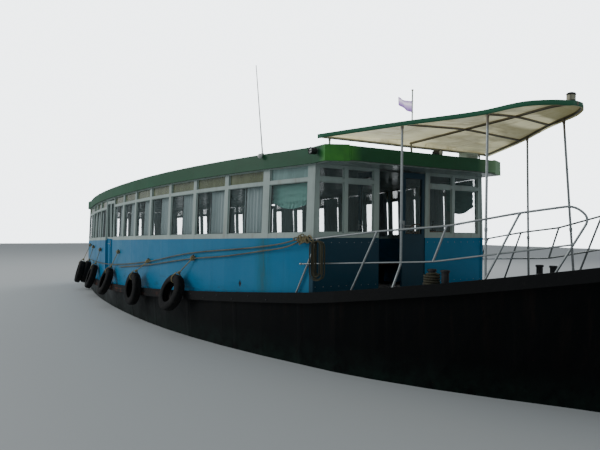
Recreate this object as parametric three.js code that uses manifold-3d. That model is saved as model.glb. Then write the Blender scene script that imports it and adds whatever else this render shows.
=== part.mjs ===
// Small passenger ferry: a decked steel hull, a long glazed cabin and a canopy over the foredeck.
// Millimetres. +X points forward, +Y to port, +Z up, and Z is 0 at the waterline.

import * as THREE from 'three';
import { mergeVertices } from 'three/addons/utils/BufferGeometryUtils.js';
import Module from 'manifold-3d';

const wasm = await Module();
wasm.setup();

// Driving dimensions

const GAP = 0.3;
const CABIN_FRONT = 5430;
const WIDEST_AFT = 5300;
const HALF_BEAM = 2560;
const HALF_AT_FRONT = 1860;
const SIDE_END = 14000;
const HALF_AT_SIDE_END = 1550;
const STERN_ROUND = 2300;
const BOW_LENGTH = 4700;
const BOW_FULLNESS = 1.2;

const SILL_AT_FRONT = 1893;
const SILL_SLOPE = 0.0267;
const WINDOW_BAND = 1100;
const WALL_THICK = 50;
const FRAME_THICK = 46;
const GLASS_THICK = 8;
const INWARD_LEAN = 0.035;

const SILL_BAND = 75;
const TRANSOM_LOW = 845;
const TRANSOM_HIGH = 905;
const HEAD_LOW = 1065;
const SIDE_HEAD_LOW = 1083;

const FASCIA_DEPTH = 235;
const FASCIA_THICK = 40;
const ROOF_THICK = 60;
const ROOF_CAMBER = 70;
const ROOF_OVERHANG = 460;

const KEEL_BOTTOM = -1050;
const SHAFT_HEIGHT = -590;
const PROPELLER_RADIUS = 280;

// Stations along the side, as distances aft of the cabin's front wall.
const FIRST_BAY = 1020;
const BAY = 1032;
const BAYS_BEFORE_DOOR = 7;
const BAYS_AFTER_DOOR = 4;
const DOOR_START = FIRST_BAY + BAYS_BEFORE_DOOR * BAY;
const DOOR_END = DOOR_START + BAY;
const FRONT_POST = 70;
const SIDE_POST = 105;
const HELM_POST = 150;
const CORNER_POST = 145;

// Shapes of the boat, each a function of the distance aft of the cabin's front wall

const foreFactor = (HALF_BEAM - HALF_AT_FRONT) / WIDEST_AFT ** 2;
const aftFactor = (HALF_BEAM - HALF_AT_SIDE_END) / (SIDE_END - WIDEST_AFT) ** 2;

function halfBreadth(aft) {
  if (aft < 0) return HALF_AT_FRONT * (1 - Math.min(1, -aft / BOW_LENGTH) ** BOW_FULLNESS);
  const factor = aft < WIDEST_AFT ? foreFactor : aftFactor;
  return HALF_BEAM - factor * (aft - WIDEST_AFT) ** 2;
}

function sheerHeight(aft) {
  if (aft < 0) return 1065 - 0.12 * aft + 9e-6 * aft ** 2;
  return 1065 - 0.083 * aft + 2.5e-6 * aft ** 2;
}

const sillHeight = (aft) => SILL_AT_FRONT - SILL_SLOPE * aft;
const aboveSill = (rise) => (aft) => sillHeight(aft) + rise;

// Mesh and solid helpers

function solidFromGeometry(geometry) {
  geometry.deleteAttribute('normal');
  geometry.deleteAttribute('uv');
  const merged = mergeVertices(geometry, 1e-3);
  const mesh = new wasm.Mesh({
    numProp: 3,
    vertProperties: new Float32Array(merged.attributes.position.array),
    triVerts: new Uint32Array(merged.index.array),
  });
  return new wasm.Manifold(mesh);
}

function geometryFromSolid(solid) {
  const mesh = solid.getMesh();
  const geometry = new THREE.BufferGeometry();
  geometry.setAttribute('position', new THREE.BufferAttribute(new Float32Array(mesh.vertProperties), 3));
  geometry.setIndex(new THREE.BufferAttribute(new Uint32Array(mesh.triVerts), 1));
  geometry.computeVertexNormals();
  return geometry;
}

const joined = (solids) => solids.reduce((sum, solid) => sum.add(solid));

function box(x, y, z) {
  const size = [x[1] - x[0], y[1] - y[0], z[1] - z[0]];
  const geometry = new THREE.BoxGeometry(...size);
  geometry.translate((x[0] + x[1]) / 2, (y[0] + y[1]) / 2, (z[0] + z[1]) / 2);
  return solidFromGeometry(geometry);
}

function cylinderBetween(from, to, radius, sides = 12) {
  const start = new THREE.Vector3(...from);
  const along = new THREE.Vector3(...to).sub(start);
  const geometry = new THREE.CylinderGeometry(radius, radius, along.length(), sides);
  geometry.translate(0, along.length() / 2, 0);
  geometry.applyQuaternion(new THREE.Quaternion().setFromUnitVectors(
    new THREE.Vector3(0, 1, 0), along.normalize()));
  geometry.translate(...from);
  return solidFromGeometry(geometry);
}

// A closed body lofted through rings of equal length; each ring is an array of [x, y, z].
function loft(rings) {
  const count = rings[0].length;
  const positions = rings.flat(2);
  const faces = [];
  for (let ring = 0; ring + 1 < rings.length; ring += 1) {
    for (let i = 0; i < count; i += 1) {
      const a = ring * count + i;
      const b = ring * count + (i + 1) % count;
      faces.push(a, b, b + count, a, b + count, a + count);
    }
  }
  const ringPlane = (ring) => {
    const points = ring.map((p) => new THREE.Vector3(...p));
    const normal = new THREE.Vector3();
    points.forEach((p, i) => normal.add(new THREE.Vector3().crossVectors(p, points[(i + 1) % count])));
    const across = points.reduce((best, p) => (p.distanceTo(points[0]) > best.distanceTo(points[0])
      ? p : best), points[0]).clone().sub(points[0]).normalize();
    const up = new THREE.Vector3().crossVectors(normal.normalize(), across);
    return points.map((p) => new THREE.Vector2(p.dot(across), p.dot(up)));
  };
  const cap = (ringIndex, flip) => {
    const base = ringIndex * count;
    THREE.ShapeUtils.triangulateShape(ringPlane(rings[ringIndex]), []).forEach(([a, b, c]) => {
      faces.push(...(flip ? [base + a, base + c, base + b] : [base + a, base + b, base + c]));
    });
  };
  cap(0, true);
  cap(rings.length - 1, false);
  const geometry = new THREE.BufferGeometry();
  geometry.setAttribute('position', new THREE.BufferAttribute(new Float32Array(positions), 3));
  geometry.setIndex(faces);
  const merged = mergeVertices(geometry, 1e-3);
  const build = (triangles) => new wasm.Manifold(new wasm.Mesh({
    numProp: 3,
    vertProperties: new Float32Array(merged.attributes.position.array),
    triVerts: new Uint32Array(triangles),
  }));
  const solid = build(merged.index.array);
  if (solid.volume() > 0) return solid;
  const turned = Array.from(merged.index.array);
  for (let i = 0; i < turned.length; i += 3) [turned[i], turned[i + 1]] = [turned[i + 1], turned[i]];
  return build(turned);
}

function node(name, solid, finish) {
  const material = new THREE.MeshStandardMaterial(finish);
  const mesh = new THREE.Mesh(geometryFromSolid(solid), material);
  mesh.name = name;
  return mesh;
}

// Finishes

const PAINT_BLUE = { color: 0x1757c8, roughness: 0.45, metalness: 0.0 };
const PAINT_WHITE = { color: 0xe9e8e2, roughness: 0.5, metalness: 0.0 };
const PAINT_GREEN = { color: 0x1f7a4a, roughness: 0.5, metalness: 0.0 };
const HULL_BLACK = { color: 0x14161c, roughness: 0.5, metalness: 0.1 };
const GALVANISED = { color: 0x9aa09f, roughness: 0.5, metalness: 0.7 };
const GLASS = { color: 0x8fa3a6, roughness: 0.1, metalness: 0.0, transparent: true, opacity: 0.35 };
const CANVAS = { color: 0xd8d2b4, roughness: 0.8, metalness: 0.0 };
const RUBBER = { color: 0x1b1b1b, roughness: 0.9, metalness: 0.0 };
const BRONZE = { color: 0x9c7a3c, roughness: 0.4, metalness: 0.9 };
const DARK_METAL = { color: 0x2a2d30, roughness: 0.6, metalness: 0.5 };
const ROPE = { color: 0x6f6552, roughness: 0.95, metalness: 0.0 };
const TIMBER = { color: 0x7d5a35, roughness: 0.6, metalness: 0.0 };

// The cabin's outline in plan: straight between pillars, then round the stern

const pillars = [0, FIRST_BAY];
for (let i = 1; i <= BAYS_BEFORE_DOOR; i += 1) pillars.push(FIRST_BAY + i * BAY);
pillars.push(DOOR_END);
for (let i = 1; i <= BAYS_AFTER_DOOR; i += 1) pillars.push(DOOR_END + i * BAY);
const STERN_STEPS = 5;

// Starboard side is negative y. Each stop has a place along the outline, a point and its outward way.
function starboardStops() {
  const points = pillars.map((aft) => ({ along: aft, aft, y: -halfBreadth(aft) }));
  const lastAft = pillars[pillars.length - 1];
  const lastHalf = halfBreadth(lastAft);
  for (let i = 1; i <= STERN_STEPS; i += 1) {
    const angle = (i / STERN_STEPS) * Math.PI / 2;
    points.push({
      along: lastAft + i * 400,
      aft: lastAft + STERN_ROUND * Math.sin(angle),
      y: -lastHalf * Math.cos(angle),
    });
  }
  return points;
}

// Mirrors a starboard line to port and gives each stop its outward way.
function wholeLine(starboard) {
  const end = starboard[starboard.length - 1].along;
  const port = starboard.slice(0, -1).reverse()
    .map((stop) => ({ along: 2 * end - stop.along, aft: stop.aft, y: -stop.y }));
  const stops = [...starboard, ...port];
  return stops.map((stop, i) => {
    const before = stops[Math.max(0, i - 1)];
    const after = stops[Math.min(stops.length - 1, i + 1)];
    const dx = -(after.aft - before.aft);
    const dy = after.y - before.y;
    const length = Math.hypot(dx, dy);
    return { ...stop, x: CABIN_FRONT - stop.aft, outX: -dy / length, outY: dx / length };
  });
}

const outline = wholeLine(starboardStops());
const OUTLINE_END = outline[outline.length - 1].along;

function stopAt(line, along) {
  const next = Math.max(1, line.findIndex((stop) => stop.along >= along - 1e-6));
  const a = line[next - 1];
  const b = line[next];
  const t = (along - a.along) / (b.along - a.along);
  const mix = (key) => a[key] + (b[key] - a[key]) * t;
  return { along, aft: mix('aft'), x: mix('x'), y: mix('y'), outX: mix('outX'), outY: mix('outY') };
}

function stopsBetween(line, from, to) {
  const inside = line.filter((stop) => stop.along > from + 1 && stop.along < to - 1);
  return [stopAt(line, from), ...inside, stopAt(line, to)];
}

// A wall along a line of stops, between two offsets and two heights; it leans in above the sill.
function band(line, from, to, [inner, outer], low, high) {
  const corner = (stop, offset, height) => {
    const lean = -INWARD_LEAN * Math.max(0, height - sillHeight(stop.aft));
    const out = offset + lean;
    return [stop.x + stop.outX * out, stop.y + stop.outY * out, height];
  };
  return loft(stopsBetween(line, from, to).map((stop) => [
    corner(stop, inner, low(stop.aft)),
    corner(stop, outer, low(stop.aft)),
    corner(stop, outer, high(stop.aft)),
    corner(stop, inner, high(stop.aft)),
  ]));
}

// Hull

const HULL_EDGE = 60;
const KEEL_HALF = 60;
const WATERLINE_STEM = 4150;
const BILGE_STEM = 3800;
const KEEL_STEM = 3400;
const COUNTER_LENGTH = 1700;
const BOW_STATIONS = [-4690, -4300, -3600, -2800, -2000, -1200, -500];

const HULL_DEPTHS = [
  { aft: -4700, depth: 260 },
  { aft: -2000, depth: 760 },
  { aft: 2000, depth: 930 },
  { aft: 8000, depth: 930 },
  { aft: 11500, depth: 640 },
  { aft: 13450, depth: 300 },
  { aft: 15750, depth: 90 },
];

function hullDepth(aft) {
  const next = Math.max(1, HULL_DEPTHS.findIndex((row) => row.aft >= aft));
  const a = HULL_DEPTHS[next - 1];
  const b = HULL_DEPTHS[next];
  return a.depth + (b.depth - a.depth) * (aft - a.aft) / (b.aft - a.aft);
}

const LAST_PILLAR = pillars[pillars.length - 1];

// Each level of the hull has its own length: the stem rakes forward and the counter hangs aft.
function levelAft(aft, stem, counter) {
  if (aft < 0) return aft * stem / BOW_LENGTH;
  if (aft > LAST_PILLAR) return LAST_PILLAR + (aft - LAST_PILLAR) * counter / STERN_ROUND;
  return aft;
}

function hullRing({ aft, half }) {
  const edge = half + HULL_EDGE;
  const bow = Math.max(0, -aft) / BOW_LENGTH;
  const waterHalf = Math.max(25, edge * (0.98 + 0.12 * bow - 0.6 * bow ** 4));
  const keelHalf = Math.min(KEEL_HALF, waterHalf * 0.5);
  const depth = hullDepth(aft);
  const levels = [
    { half: edge, height: sheerHeight(aft), at: aft },
    { half: waterHalf, height: 0, at: levelAft(aft, WATERLINE_STEM, COUNTER_LENGTH + 300) },
    { half: waterHalf * 0.84, height: -0.62 * depth, at: levelAft(aft, BILGE_STEM, COUNTER_LENGTH) },
    { half: keelHalf, height: -depth, at: levelAft(aft, KEEL_STEM, COUNTER_LENGTH - 200) },
  ];
  const side = levels.map((level) => [CABIN_FRONT - level.at, -level.half, level.height]);
  const other = levels.map((level) => [CABIN_FRONT - level.at, level.half, level.height]).reverse();
  return [...side, ...other];
}

const sternStops = starboardStops().slice(pillars.length)
  .map((stop) => ({ aft: stop.aft, half: Math.max(60, -stop.y) }));
const hullStations = [
  ...BOW_STATIONS.map((aft) => ({ aft, half: halfBreadth(aft) })),
  ...pillars.map((aft) => ({ aft, half: halfBreadth(aft) })),
  ...sternStops,
];

const ENGINE_WELL = { aft: [6150, 7650], half: 400, floor: -740 };
const SHAFT_RADIUS = 25;
const SHAFT_BORE = 33;
const RUDDER_AFT = 14380;
const STOCK_RADIUS = 28;
const STOCK_BORE = 36;

const atAft = (aft) => CABIN_FRONT - aft;

function shaftBore() {
  return cylinderBetween([atAft(7000), 0, SHAFT_HEIGHT], [atAft(13800), 0, SHAFT_HEIGHT], SHAFT_BORE, 16);
}

function makeHull() {
  const well = box(
    [atAft(ENGINE_WELL.aft[1]), atAft(ENGINE_WELL.aft[0])],
    [-ENGINE_WELL.half, ENGINE_WELL.half],
    [ENGINE_WELL.floor, 2000],
  );
  const stockX = atAft(RUDDER_AFT);
  const stockHole = cylinderBetween([stockX, 0, -500], [stockX, 0, 900], STOCK_BORE, 16);
  return loft(hullStations.map(hullRing)).subtract(well).subtract(shaftBore()).subtract(stockHole);
}

const hull = makeHull();
const deckCut = hull.translate([0, 0, GAP]);
const largestBody = (solid) => solid.decompose().sort((a, b) => b.volume() - a.volume())[0];
const standOnDeck = (solid) => largestBody(solid.subtract(deckCut));
const intoDeck = (aft) => sheerHeight(aft) - 60;

const KEEL_END = 13500;
const HEEL_END = 15000;
const HEEL_THICK = 60;

function makeKeel() {
  const shape = new THREE.Shape();
  shape.moveTo(atAft(-2700), -500);
  shape.lineTo(atAft(KEEL_END), 100);
  shape.lineTo(atAft(KEEL_END), KEEL_BOTTOM + HEEL_THICK);
  shape.lineTo(atAft(HEEL_END), KEEL_BOTTOM + HEEL_THICK);
  shape.lineTo(atAft(HEEL_END), KEEL_BOTTOM);
  shape.lineTo(atAft(-1800), KEEL_BOTTOM);
  const geometry = new THREE.ExtrudeGeometry(shape, { depth: 2 * KEEL_HALF, bevelEnabled: false });
  geometry.rotateX(Math.PI / 2);
  geometry.translate(0, KEEL_HALF, 0);
  const plate = solidFromGeometry(geometry);
  return largestBody(plate.subtract(hull.translate([0, 0, -GAP])).subtract(hull).subtract(shaftBore()));
}

const RAIL_DEPTH = 65;
const RAIL_RISE = 25;
const RAIL_DROP = 130;

function rubRail() {
  const bow = BOW_STATIONS.map((aft) => ({ along: aft, aft, y: -halfBreadth(aft) - HULL_EDGE }));
  const side = starboardStops().map((stop) => ({ ...stop, y: stop.y - HULL_EDGE * (stop.y < -60 ? 1 : 0) }));
  const line = wholeLine([...bow, ...side]);
  const start = line[0].along;
  const end = line[line.length - 1].along;
  const low = (aft) => sheerHeight(aft) - RAIL_DROP;
  const high = (aft) => sheerHeight(aft) + RAIL_RISE;
  const rail = band(line, start, end, [1, RAIL_DEPTH], low, high);
  return largestBody(rail.subtract(hull.translate([-GAP, 0, 0])).subtract(hull));
}

// Cabin walls, window frames and glass

const RUNS = [
  { name: 'starboard', from: 0, to: DOOR_START },
  { name: 'aft', from: DOOR_END, to: OUTLINE_END - DOOR_END },
  { name: 'port', from: OUTLINE_END - DOOR_START, to: OUTLINE_END },
];

const wallTop = aboveSill(-GAP);

function lowerWall({ from, to }) {
  return standOnDeck(band(outline, from, to, [-WALL_THICK, 0], intoDeck, wallTop));
}

// The aft wall carries the thresholds of the boarding doors on both sides.
const THRESHOLD_THICK = 40;
const THRESHOLD_TOP = sheerHeight(DOOR_START) + 70;

function aftWall(run) {
  const across = [-THRESHOLD_THICK, 0];
  const threshold = band(outline, DOOR_START + GAP, DOOR_END, across, intoDeck, () => THRESHOLD_TOP);
  return standOnDeck(joined([lowerWall(run), threshold, threshold.mirror([0, 1, 0])]));
}

// One band along the run with two window openings cut in each bay: a fanlight above a tall pane.
const PANES = [
  { low: SILL_BAND, high: TRANSOM_LOW },
  { low: TRANSOM_HIGH, high: SIDE_HEAD_LOW },
];

// How far a pillar reaches into the bay beside it: the ones at the corners and by the helm are wider.
function pillarReach(along) {
  const fromFront = Math.min(along, OUTLINE_END - along);
  if (fromFront < 10) return CORNER_POST;
  return (Math.abs(fromFront - FIRST_BAY) < 10 ? HELM_POST : SIDE_POST) / 2;
}

function windowFrame({ from, to }) {
  const whole = band(outline, from, to, [-FRAME_THICK, 0], aboveSill(0), aboveSill(WINDOW_BAND - GAP));
  const posts = stopsBetween(outline, from, to).map((stop) => stop.along);
  const openings = posts.slice(0, -1).flatMap((along, i) => {
    const start = along + pillarReach(along);
    const end = posts[i + 1] - pillarReach(posts[i + 1]);
    return PANES.map(({ low, high }) => (
      band(outline, start, end, [-FRAME_THICK - 20, 20], aboveSill(low), aboveSill(high))));
  });
  return whole.subtract(joined(openings));
}

// The aft frame reaches forward over both boarding doorways as a header.
function aftFrame(run) {
  const high = aboveSill(WINDOW_BAND - GAP);
  const header = band(outline, DOOR_START + GAP, DOOR_END, [-FRAME_THICK, 0], aboveSill(HEAD_LOW), high);
  return joined([windowFrame(run), header, header.mirror([0, 1, 0])]);
}

function glassRun({ from, to }) {
  const outer = -FRAME_THICK - GAP;
  const low = aboveSill(GAP);
  const high = aboveSill(WINDOW_BAND - 5);
  const start = from < 1 ? CORNER_POST - 15 : from + 5;
  const end = to > OUTLINE_END - 1 ? OUTLINE_END - CORNER_POST + 15 : to - 5;
  return band(outline, start, end, [outer - GLASS_THICK, outer], low, high);
}

// Front of the cabin: two glazed panels with the doorway between them

const DOORWAY = { starboard: -580, port: 430 };
const FRONT_PANELS = [
  { name: 'starboard', from: -1850, to: DOORWAY.starboard, posts: [-1240] },
  { name: 'port', from: DOORWAY.port, to: 1850, posts: [1110] },
];
const FRONT_EDGE = 110;
const FRONT_WALL = [CABIN_FRONT - WALL_THICK - 20, CABIN_FRONT - 20];

// What the side walls take up at the corners, so that the front panels stop just short of them.
function sideSkin() {
  const reach = [-WALL_THICK - GAP, 300];
  const lower = band(outline, 0, 400, reach, () => 500, aboveSill(0));
  const upper = band(outline, 0, 400, reach, aboveSill(-1), aboveSill(WINDOW_BAND + 50));
  const starboard = lower.add(upper);
  return starboard.add(starboard.mirror([0, 1, 0]));
}

const corners = sideSkin();

function frontPanel({ from, to }) {
  const panel = box(FRONT_WALL, [from, to], [sheerHeight(0) - 60, SILL_AT_FRONT - GAP]);
  return standOnDeck(panel.subtract(corners));
}

function frontFrame({ from, to, posts }) {
  const sill = SILL_AT_FRONT;
  const rail = (low, high) => box(FRONT_WALL, [from, to], [sill + low, sill + high]);
  const tall = [sill + 1, sill + WINDOW_BAND - 5];
  const post = (y, width) => box(FRONT_WALL, [y - width / 2, y + width / 2], tall);
  const rails = [rail(0, SILL_BAND), rail(TRANSOM_LOW, TRANSOM_HIGH), rail(HEAD_LOW, WINDOW_BAND - 4)];
  const edges = [from + FRONT_EDGE / 2, to - FRONT_EDGE / 2];
  const uprights = [...edges.map((y) => post(y, FRONT_EDGE)), ...posts.map((y) => post(y, FRONT_POST))];
  return largestBody(joined([...rails, ...uprights]).subtract(corners));
}

function frontGlass({ from, to }) {
  const inner = FRONT_WALL[0] - GAP;
  const tall = [SILL_AT_FRONT + GAP, SILL_AT_FRONT + 1085];
  const pane = box([inner - GLASS_THICK, inner], [from + 10, to - 10], tall);
  return pane.subtract(corners);
}

// The doorway's leaves are glazed frames; the starboard one stands open, swung into the cabin.
const LEAF_THICK = 40;
const LEAF_GAP = 6;
const LEAF_LOW = 1092;
const LEAF_HIGH = 2965;

function leafOutline(width) {
  const shape = new THREE.Shape();
  shape.moveTo(0, LEAF_LOW);
  shape.lineTo(width, LEAF_LOW);
  shape.lineTo(width, LEAF_HIGH);
  shape.lineTo(0, LEAF_HIGH);
  return shape;
}

function leafHole(low, high, width) {
  const border = 65;
  const hole = new THREE.Path();
  hole.moveTo(border, low);
  hole.lineTo(border, high);
  hole.lineTo(width - border, high);
  hole.lineTo(width - border, low);
  return hole;
}

// The thickness lies to the hinge line's right, or to its left on a mirrored leaf.
function leafSolid(shape, mirrored) {
  const geometry = new THREE.ExtrudeGeometry(shape, { depth: LEAF_THICK, bevelEnabled: false });
  geometry.rotateX(Math.PI / 2);
  if (mirrored) geometry.translate(0, LEAF_THICK, 0);
  return solidFromGeometry(geometry);
}

function frontLeaf(width, mirrored) {
  const shape = leafOutline(width);
  shape.holes.push(leafHole(SILL_AT_FRONT + 60, LEAF_HIGH - 90, width));
  return leafSolid(shape, mirrored);
}

const LEAF_WIDTH = (DOORWAY.port - DOORWAY.starboard) / 2 - 1.5 * LEAF_GAP;

// A leaf's own x runs from its hinge.
function placedLeaf(leaf, degrees, [x, y]) {
  return leaf.rotate([0, 0, degrees]).translate([x, y, 0]);
}

const FRONT_LEAVES = [
  { name: 'door_front_starboard', degrees: 180, mirrored: false, hinge: [FRONT_WALL[0], DOORWAY.starboard + LEAF_GAP] },
  { name: 'door_front_port', degrees: -90, mirrored: true, hinge: [FRONT_WALL[0], DOORWAY.port - LEAF_GAP] },
];

// Boarding doors: two leaves a side that swing into the cabin, solid below and glazed above

const LEAF_INSET = 50;
const BOARDING_LEAF_GAP = 8;
const boardingWidth = BAY / 2 - 1.5 * BOARDING_LEAF_GAP;
const boardingLow = sheerHeight(DOOR_START) + 12;
const boardingHigh = sillHeight(DOOR_END) + HEAD_LOW - 15;

function boardingLeaf(mirrored) {
  const shape = new THREE.Shape();
  shape.moveTo(0, boardingLow);
  shape.lineTo(boardingWidth, boardingLow);
  shape.lineTo(boardingWidth, boardingHigh);
  shape.lineTo(0, boardingHigh);
  shape.holes.push(leafHole(sillHeight(DOOR_START) + 60, boardingHigh - 80, boardingWidth));
  return leafSolid(shape, mirrored);
}

// side is -1 to starboard and +1 to port; end is -1 for the aft leaf and +1 for the forward one.
const BOARDING_LEAVES = [
  { name: 'door_starboard_forward', side: -1, end: 1 },
  { name: 'door_starboard_aft', side: -1, end: -1 },
  { name: 'door_port_forward', side: 1, end: 1 },
  { name: 'door_port_aft', side: 1, end: -1 },
];

function boardingHinge({ side, end }) {
  const forward = stopAt(outline, DOOR_START);
  const aft = stopAt(outline, DOOR_END);
  const along = new THREE.Vector2(aft.x - forward.x, aft.y - forward.y).normalize();
  const start = end > 0 ? forward : aft;
  const run = along.clone().multiplyScalar(end);
  const inset = LEAF_INSET + LEAF_THICK;
  const inward = new THREE.Vector2(-along.y, along.x).multiplyScalar(-1);
  const x = start.x + run.x * BOARDING_LEAF_GAP + inward.x * inset;
  const y = start.y + run.y * BOARDING_LEAF_GAP + inward.y * inset;
  return { x, y: y * -side, runX: run.x, runY: run.y * -side };
}

function placedBoardingLeaf(row) {
  const hinge = boardingHinge(row);
  const degrees = THREE.MathUtils.radToDeg(Math.atan2(hinge.runY, hinge.runX));
  return placedLeaf(boardingLeaf(row.side * row.end < 0), degrees, [hinge.x, hinge.y]);
}

// Roof, its side boards and the visor over the foredeck

const ROOF_FRONT = [
  { aft: -ROOF_OVERHANG, half: 1560 },
  { aft: -320, half: 1880 },
];
const ROOF_INSET = 24;

function makeRoof() {
  const centre = pillars.length + STERN_STEPS - 1;
  const rows = [
    ...ROOF_FRONT.map((row) => ({ x: atAft(row.aft + ROOF_INSET), half: row.half - ROOF_INSET })),
    ...outline.slice(0, centre).map((stop) => (
      { x: stop.x - stop.outX * ROOF_INSET, half: -stop.y + stop.outY * ROOF_INSET })),
    { x: outline[centre].x + ROOF_INSET, half: 60 },
  ];
  return loft(rows.map(({ x, half }) => {
    const under = sillHeight(CABIN_FRONT - x) + WINDOW_BAND + GAP;
    const crown = (share) => under + ROOF_THICK + ROOF_CAMBER * (1 - share ** 2) * half / HALF_BEAM;
    return [
      [x, -half, under], [x, half, under],
      [x, half, crown(1)], [x, half * 0.5, crown(0.5)], [x, 0, crown(0)],
      [x, -half * 0.5, crown(0.5)], [x, -half, crown(1)],
    ];
  }));
}

const roof = makeRoof();
const standOnRoof = (solid) => largestBody(solid.subtract(roof.translate([0, 0, GAP])));
const roofLow = sillHeight(0) + WINDOW_BAND + ROOF_THICK / 2;

const FASCIA_RANGE = [30, 30 + FASCIA_THICK];
const fasciaLow = aboveSill(WINDOW_BAND - 4);
const fasciaHigh = aboveSill(WINDOW_BAND + FASCIA_DEPTH);

function sideFascia() {
  const front = ROOF_FRONT.map((row) => ({ along: row.aft, aft: row.aft, y: -row.half }));
  const line = wholeLine([...front, ...starboardStops()]);
  const ends = [line[0].along, line[line.length - 1].along];
  return band(line, ...ends, FASCIA_RANGE, fasciaLow, fasciaHigh);
}

function frontFascia() {
  const x = atAft(-ROOF_OVERHANG);
  const half = ROOF_FRONT[0].half - 5;
  return box([x + 8, x + 8 + FASCIA_THICK], [-half, half], [fasciaLow(0) + 25, fasciaHigh(0) - 5]);
}

// Canopy over the foredeck: canvas on a tube frame with four posts

// Heights are the canvas edge's, and crown is how much higher the middle stands.
const CANOPY_EDGE = [
  { ahead: 80, half: 1850, height: 3400, crown: 60 },
  { ahead: 1220, half: 1275, height: 3483, crown: 55 },
  { ahead: 2100, half: 740, height: 3552, crown: 45 },
  { ahead: 2620, half: 540, height: 3610, crown: 32 },
  { ahead: 2880, half: 280, height: 3618, crown: 18 },
  { ahead: 2960, half: 130, height: 3612, crown: 12 },
];
const CANOPY_THICK = 14;
const TUBE_RADIUS = 20;
const TUBE_INSET = 25;
const STUB_RADIUS = 15;
const CROSS_TUBE_RADIUS = 17;
const POST_RADIUS = 17;
const RAIL_RADIUS = 14;
const LOWER_RAIL_RADIUS = 11;

// Each post runs up from its foot [ahead, half] to the canopy's edge tube; one has a knee on its way.
const POSTS = [
  { side: -1, foot: [1175, 1362], knee: [[1226, 1256, 1560]], top: 1220 },
  { side: -1, foot: [2380, 930], knee: [], top: 2180 },
  { side: 1, foot: [1460, 1180], knee: [], top: 1460 },
  { side: 1, foot: [2450, 800], knee: [], top: 2400 },
];

// What stands on the deck is drawn this much too deep and cut off at the deck.
const DECK_SINK = 60;
const ahead = (distance) => CABIN_FRONT + distance;
const deckAt = (x) => sheerHeight(CABIN_FRONT - x);

// The canvas edge is a smooth curve through its rows, followed with one stop between each two.
function canopyRow(distance) {
  const rows = CANOPY_EDGE;
  const last = rows.length - 1;
  const next = Math.max(1, rows.findIndex((row) => row.ahead >= distance));
  const [from, to] = [rows[next - 1], rows[next]];
  const span = to.ahead - from.ahead;
  const t = (distance - from.ahead) / span;
  const slope = (i, key) => {
    const [before, after] = [rows[Math.max(0, i - 1)], rows[Math.min(last, i + 1)]];
    return (after[key] - before[key]) / (after.ahead - before.ahead);
  };
  const value = (key) => (
    (1 + 2 * t) * (1 - t) ** 2 * from[key] + t * (1 - t) ** 2 * span * slope(next - 1, key)
    + t ** 2 * (3 - 2 * t) * to[key] + t ** 2 * (t - 1) * span * slope(next, key));
  return { ahead: distance, half: value('half'), height: value('height'), crown: value('crown') };
}

const canopyStops = CANOPY_EDGE.flatMap((row, i) => (
  i === 0 ? [row] : [canopyRow((row.ahead + CANOPY_EDGE[i - 1].ahead) / 2), row]));

function canopySheet() {
  return loft(canopyStops.map(({ ahead: distance, half, height, crown }) => {
    const x = ahead(distance);
    const upper = [-1, -0.5, 0, 0.5, 1].map((share) => (
      [x, share * half, height + crown * (1 - share ** 2) + CANOPY_THICK]));
    const lower = [1, 0.5, 0, -0.5, -1].map((share) => (
      [x, share * half, height + crown * (1 - share ** 2)]));
    return [...upper, ...lower];
  }));
}

const TUBE_SIDES = 6;
const tube = (from, to, radius = TUBE_RADIUS) => cylinderBetween(from, to, radius, TUBE_SIDES);

// A tube through points with a mitre at each bend: every ring lies in its bend's middle plane.
function tubeRun(points, radius) {
  const stops = points.map((point) => new THREE.Vector3(...point));
  const ways = stops.slice(1).map((stop, i) => stop.clone().sub(stops[i]).normalize());
  const side = new THREE.Vector3(0.13, 0.29, 1).cross(ways[0]).normalize();
  const lift = ways[0].clone().cross(side);
  let ring = Array.from({ length: TUBE_SIDES }, (_, i) => {
    const angle = 2 * Math.PI * i / TUBE_SIDES;
    const out = side.clone().multiplyScalar(radius * Math.cos(angle));
    return out.addScaledVector(lift, radius * Math.sin(angle)).add(stops[0]);
  });
  const rings = [ring];
  ways.forEach((way, i) => {
    const normal = way.clone().add(ways[i + 1] ?? way).normalize();
    ring = ring.map((point) => {
      const travel = normal.dot(stops[i + 1].clone().sub(point)) / normal.dot(way);
      return point.clone().addScaledVector(way, travel);
    });
    rings.push(ring);
  });
  return loft(rings.map((points3) => points3.map((point) => point.toArray())));
}

const CROSS_TUBES = [1, 2];
const TUBE_OVERRUN = 30;

// Three short stubs carry the canopy's rear tube on the cabin roof.
const CANOPY_STUBS = [-1640, 0, 1640];

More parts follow.
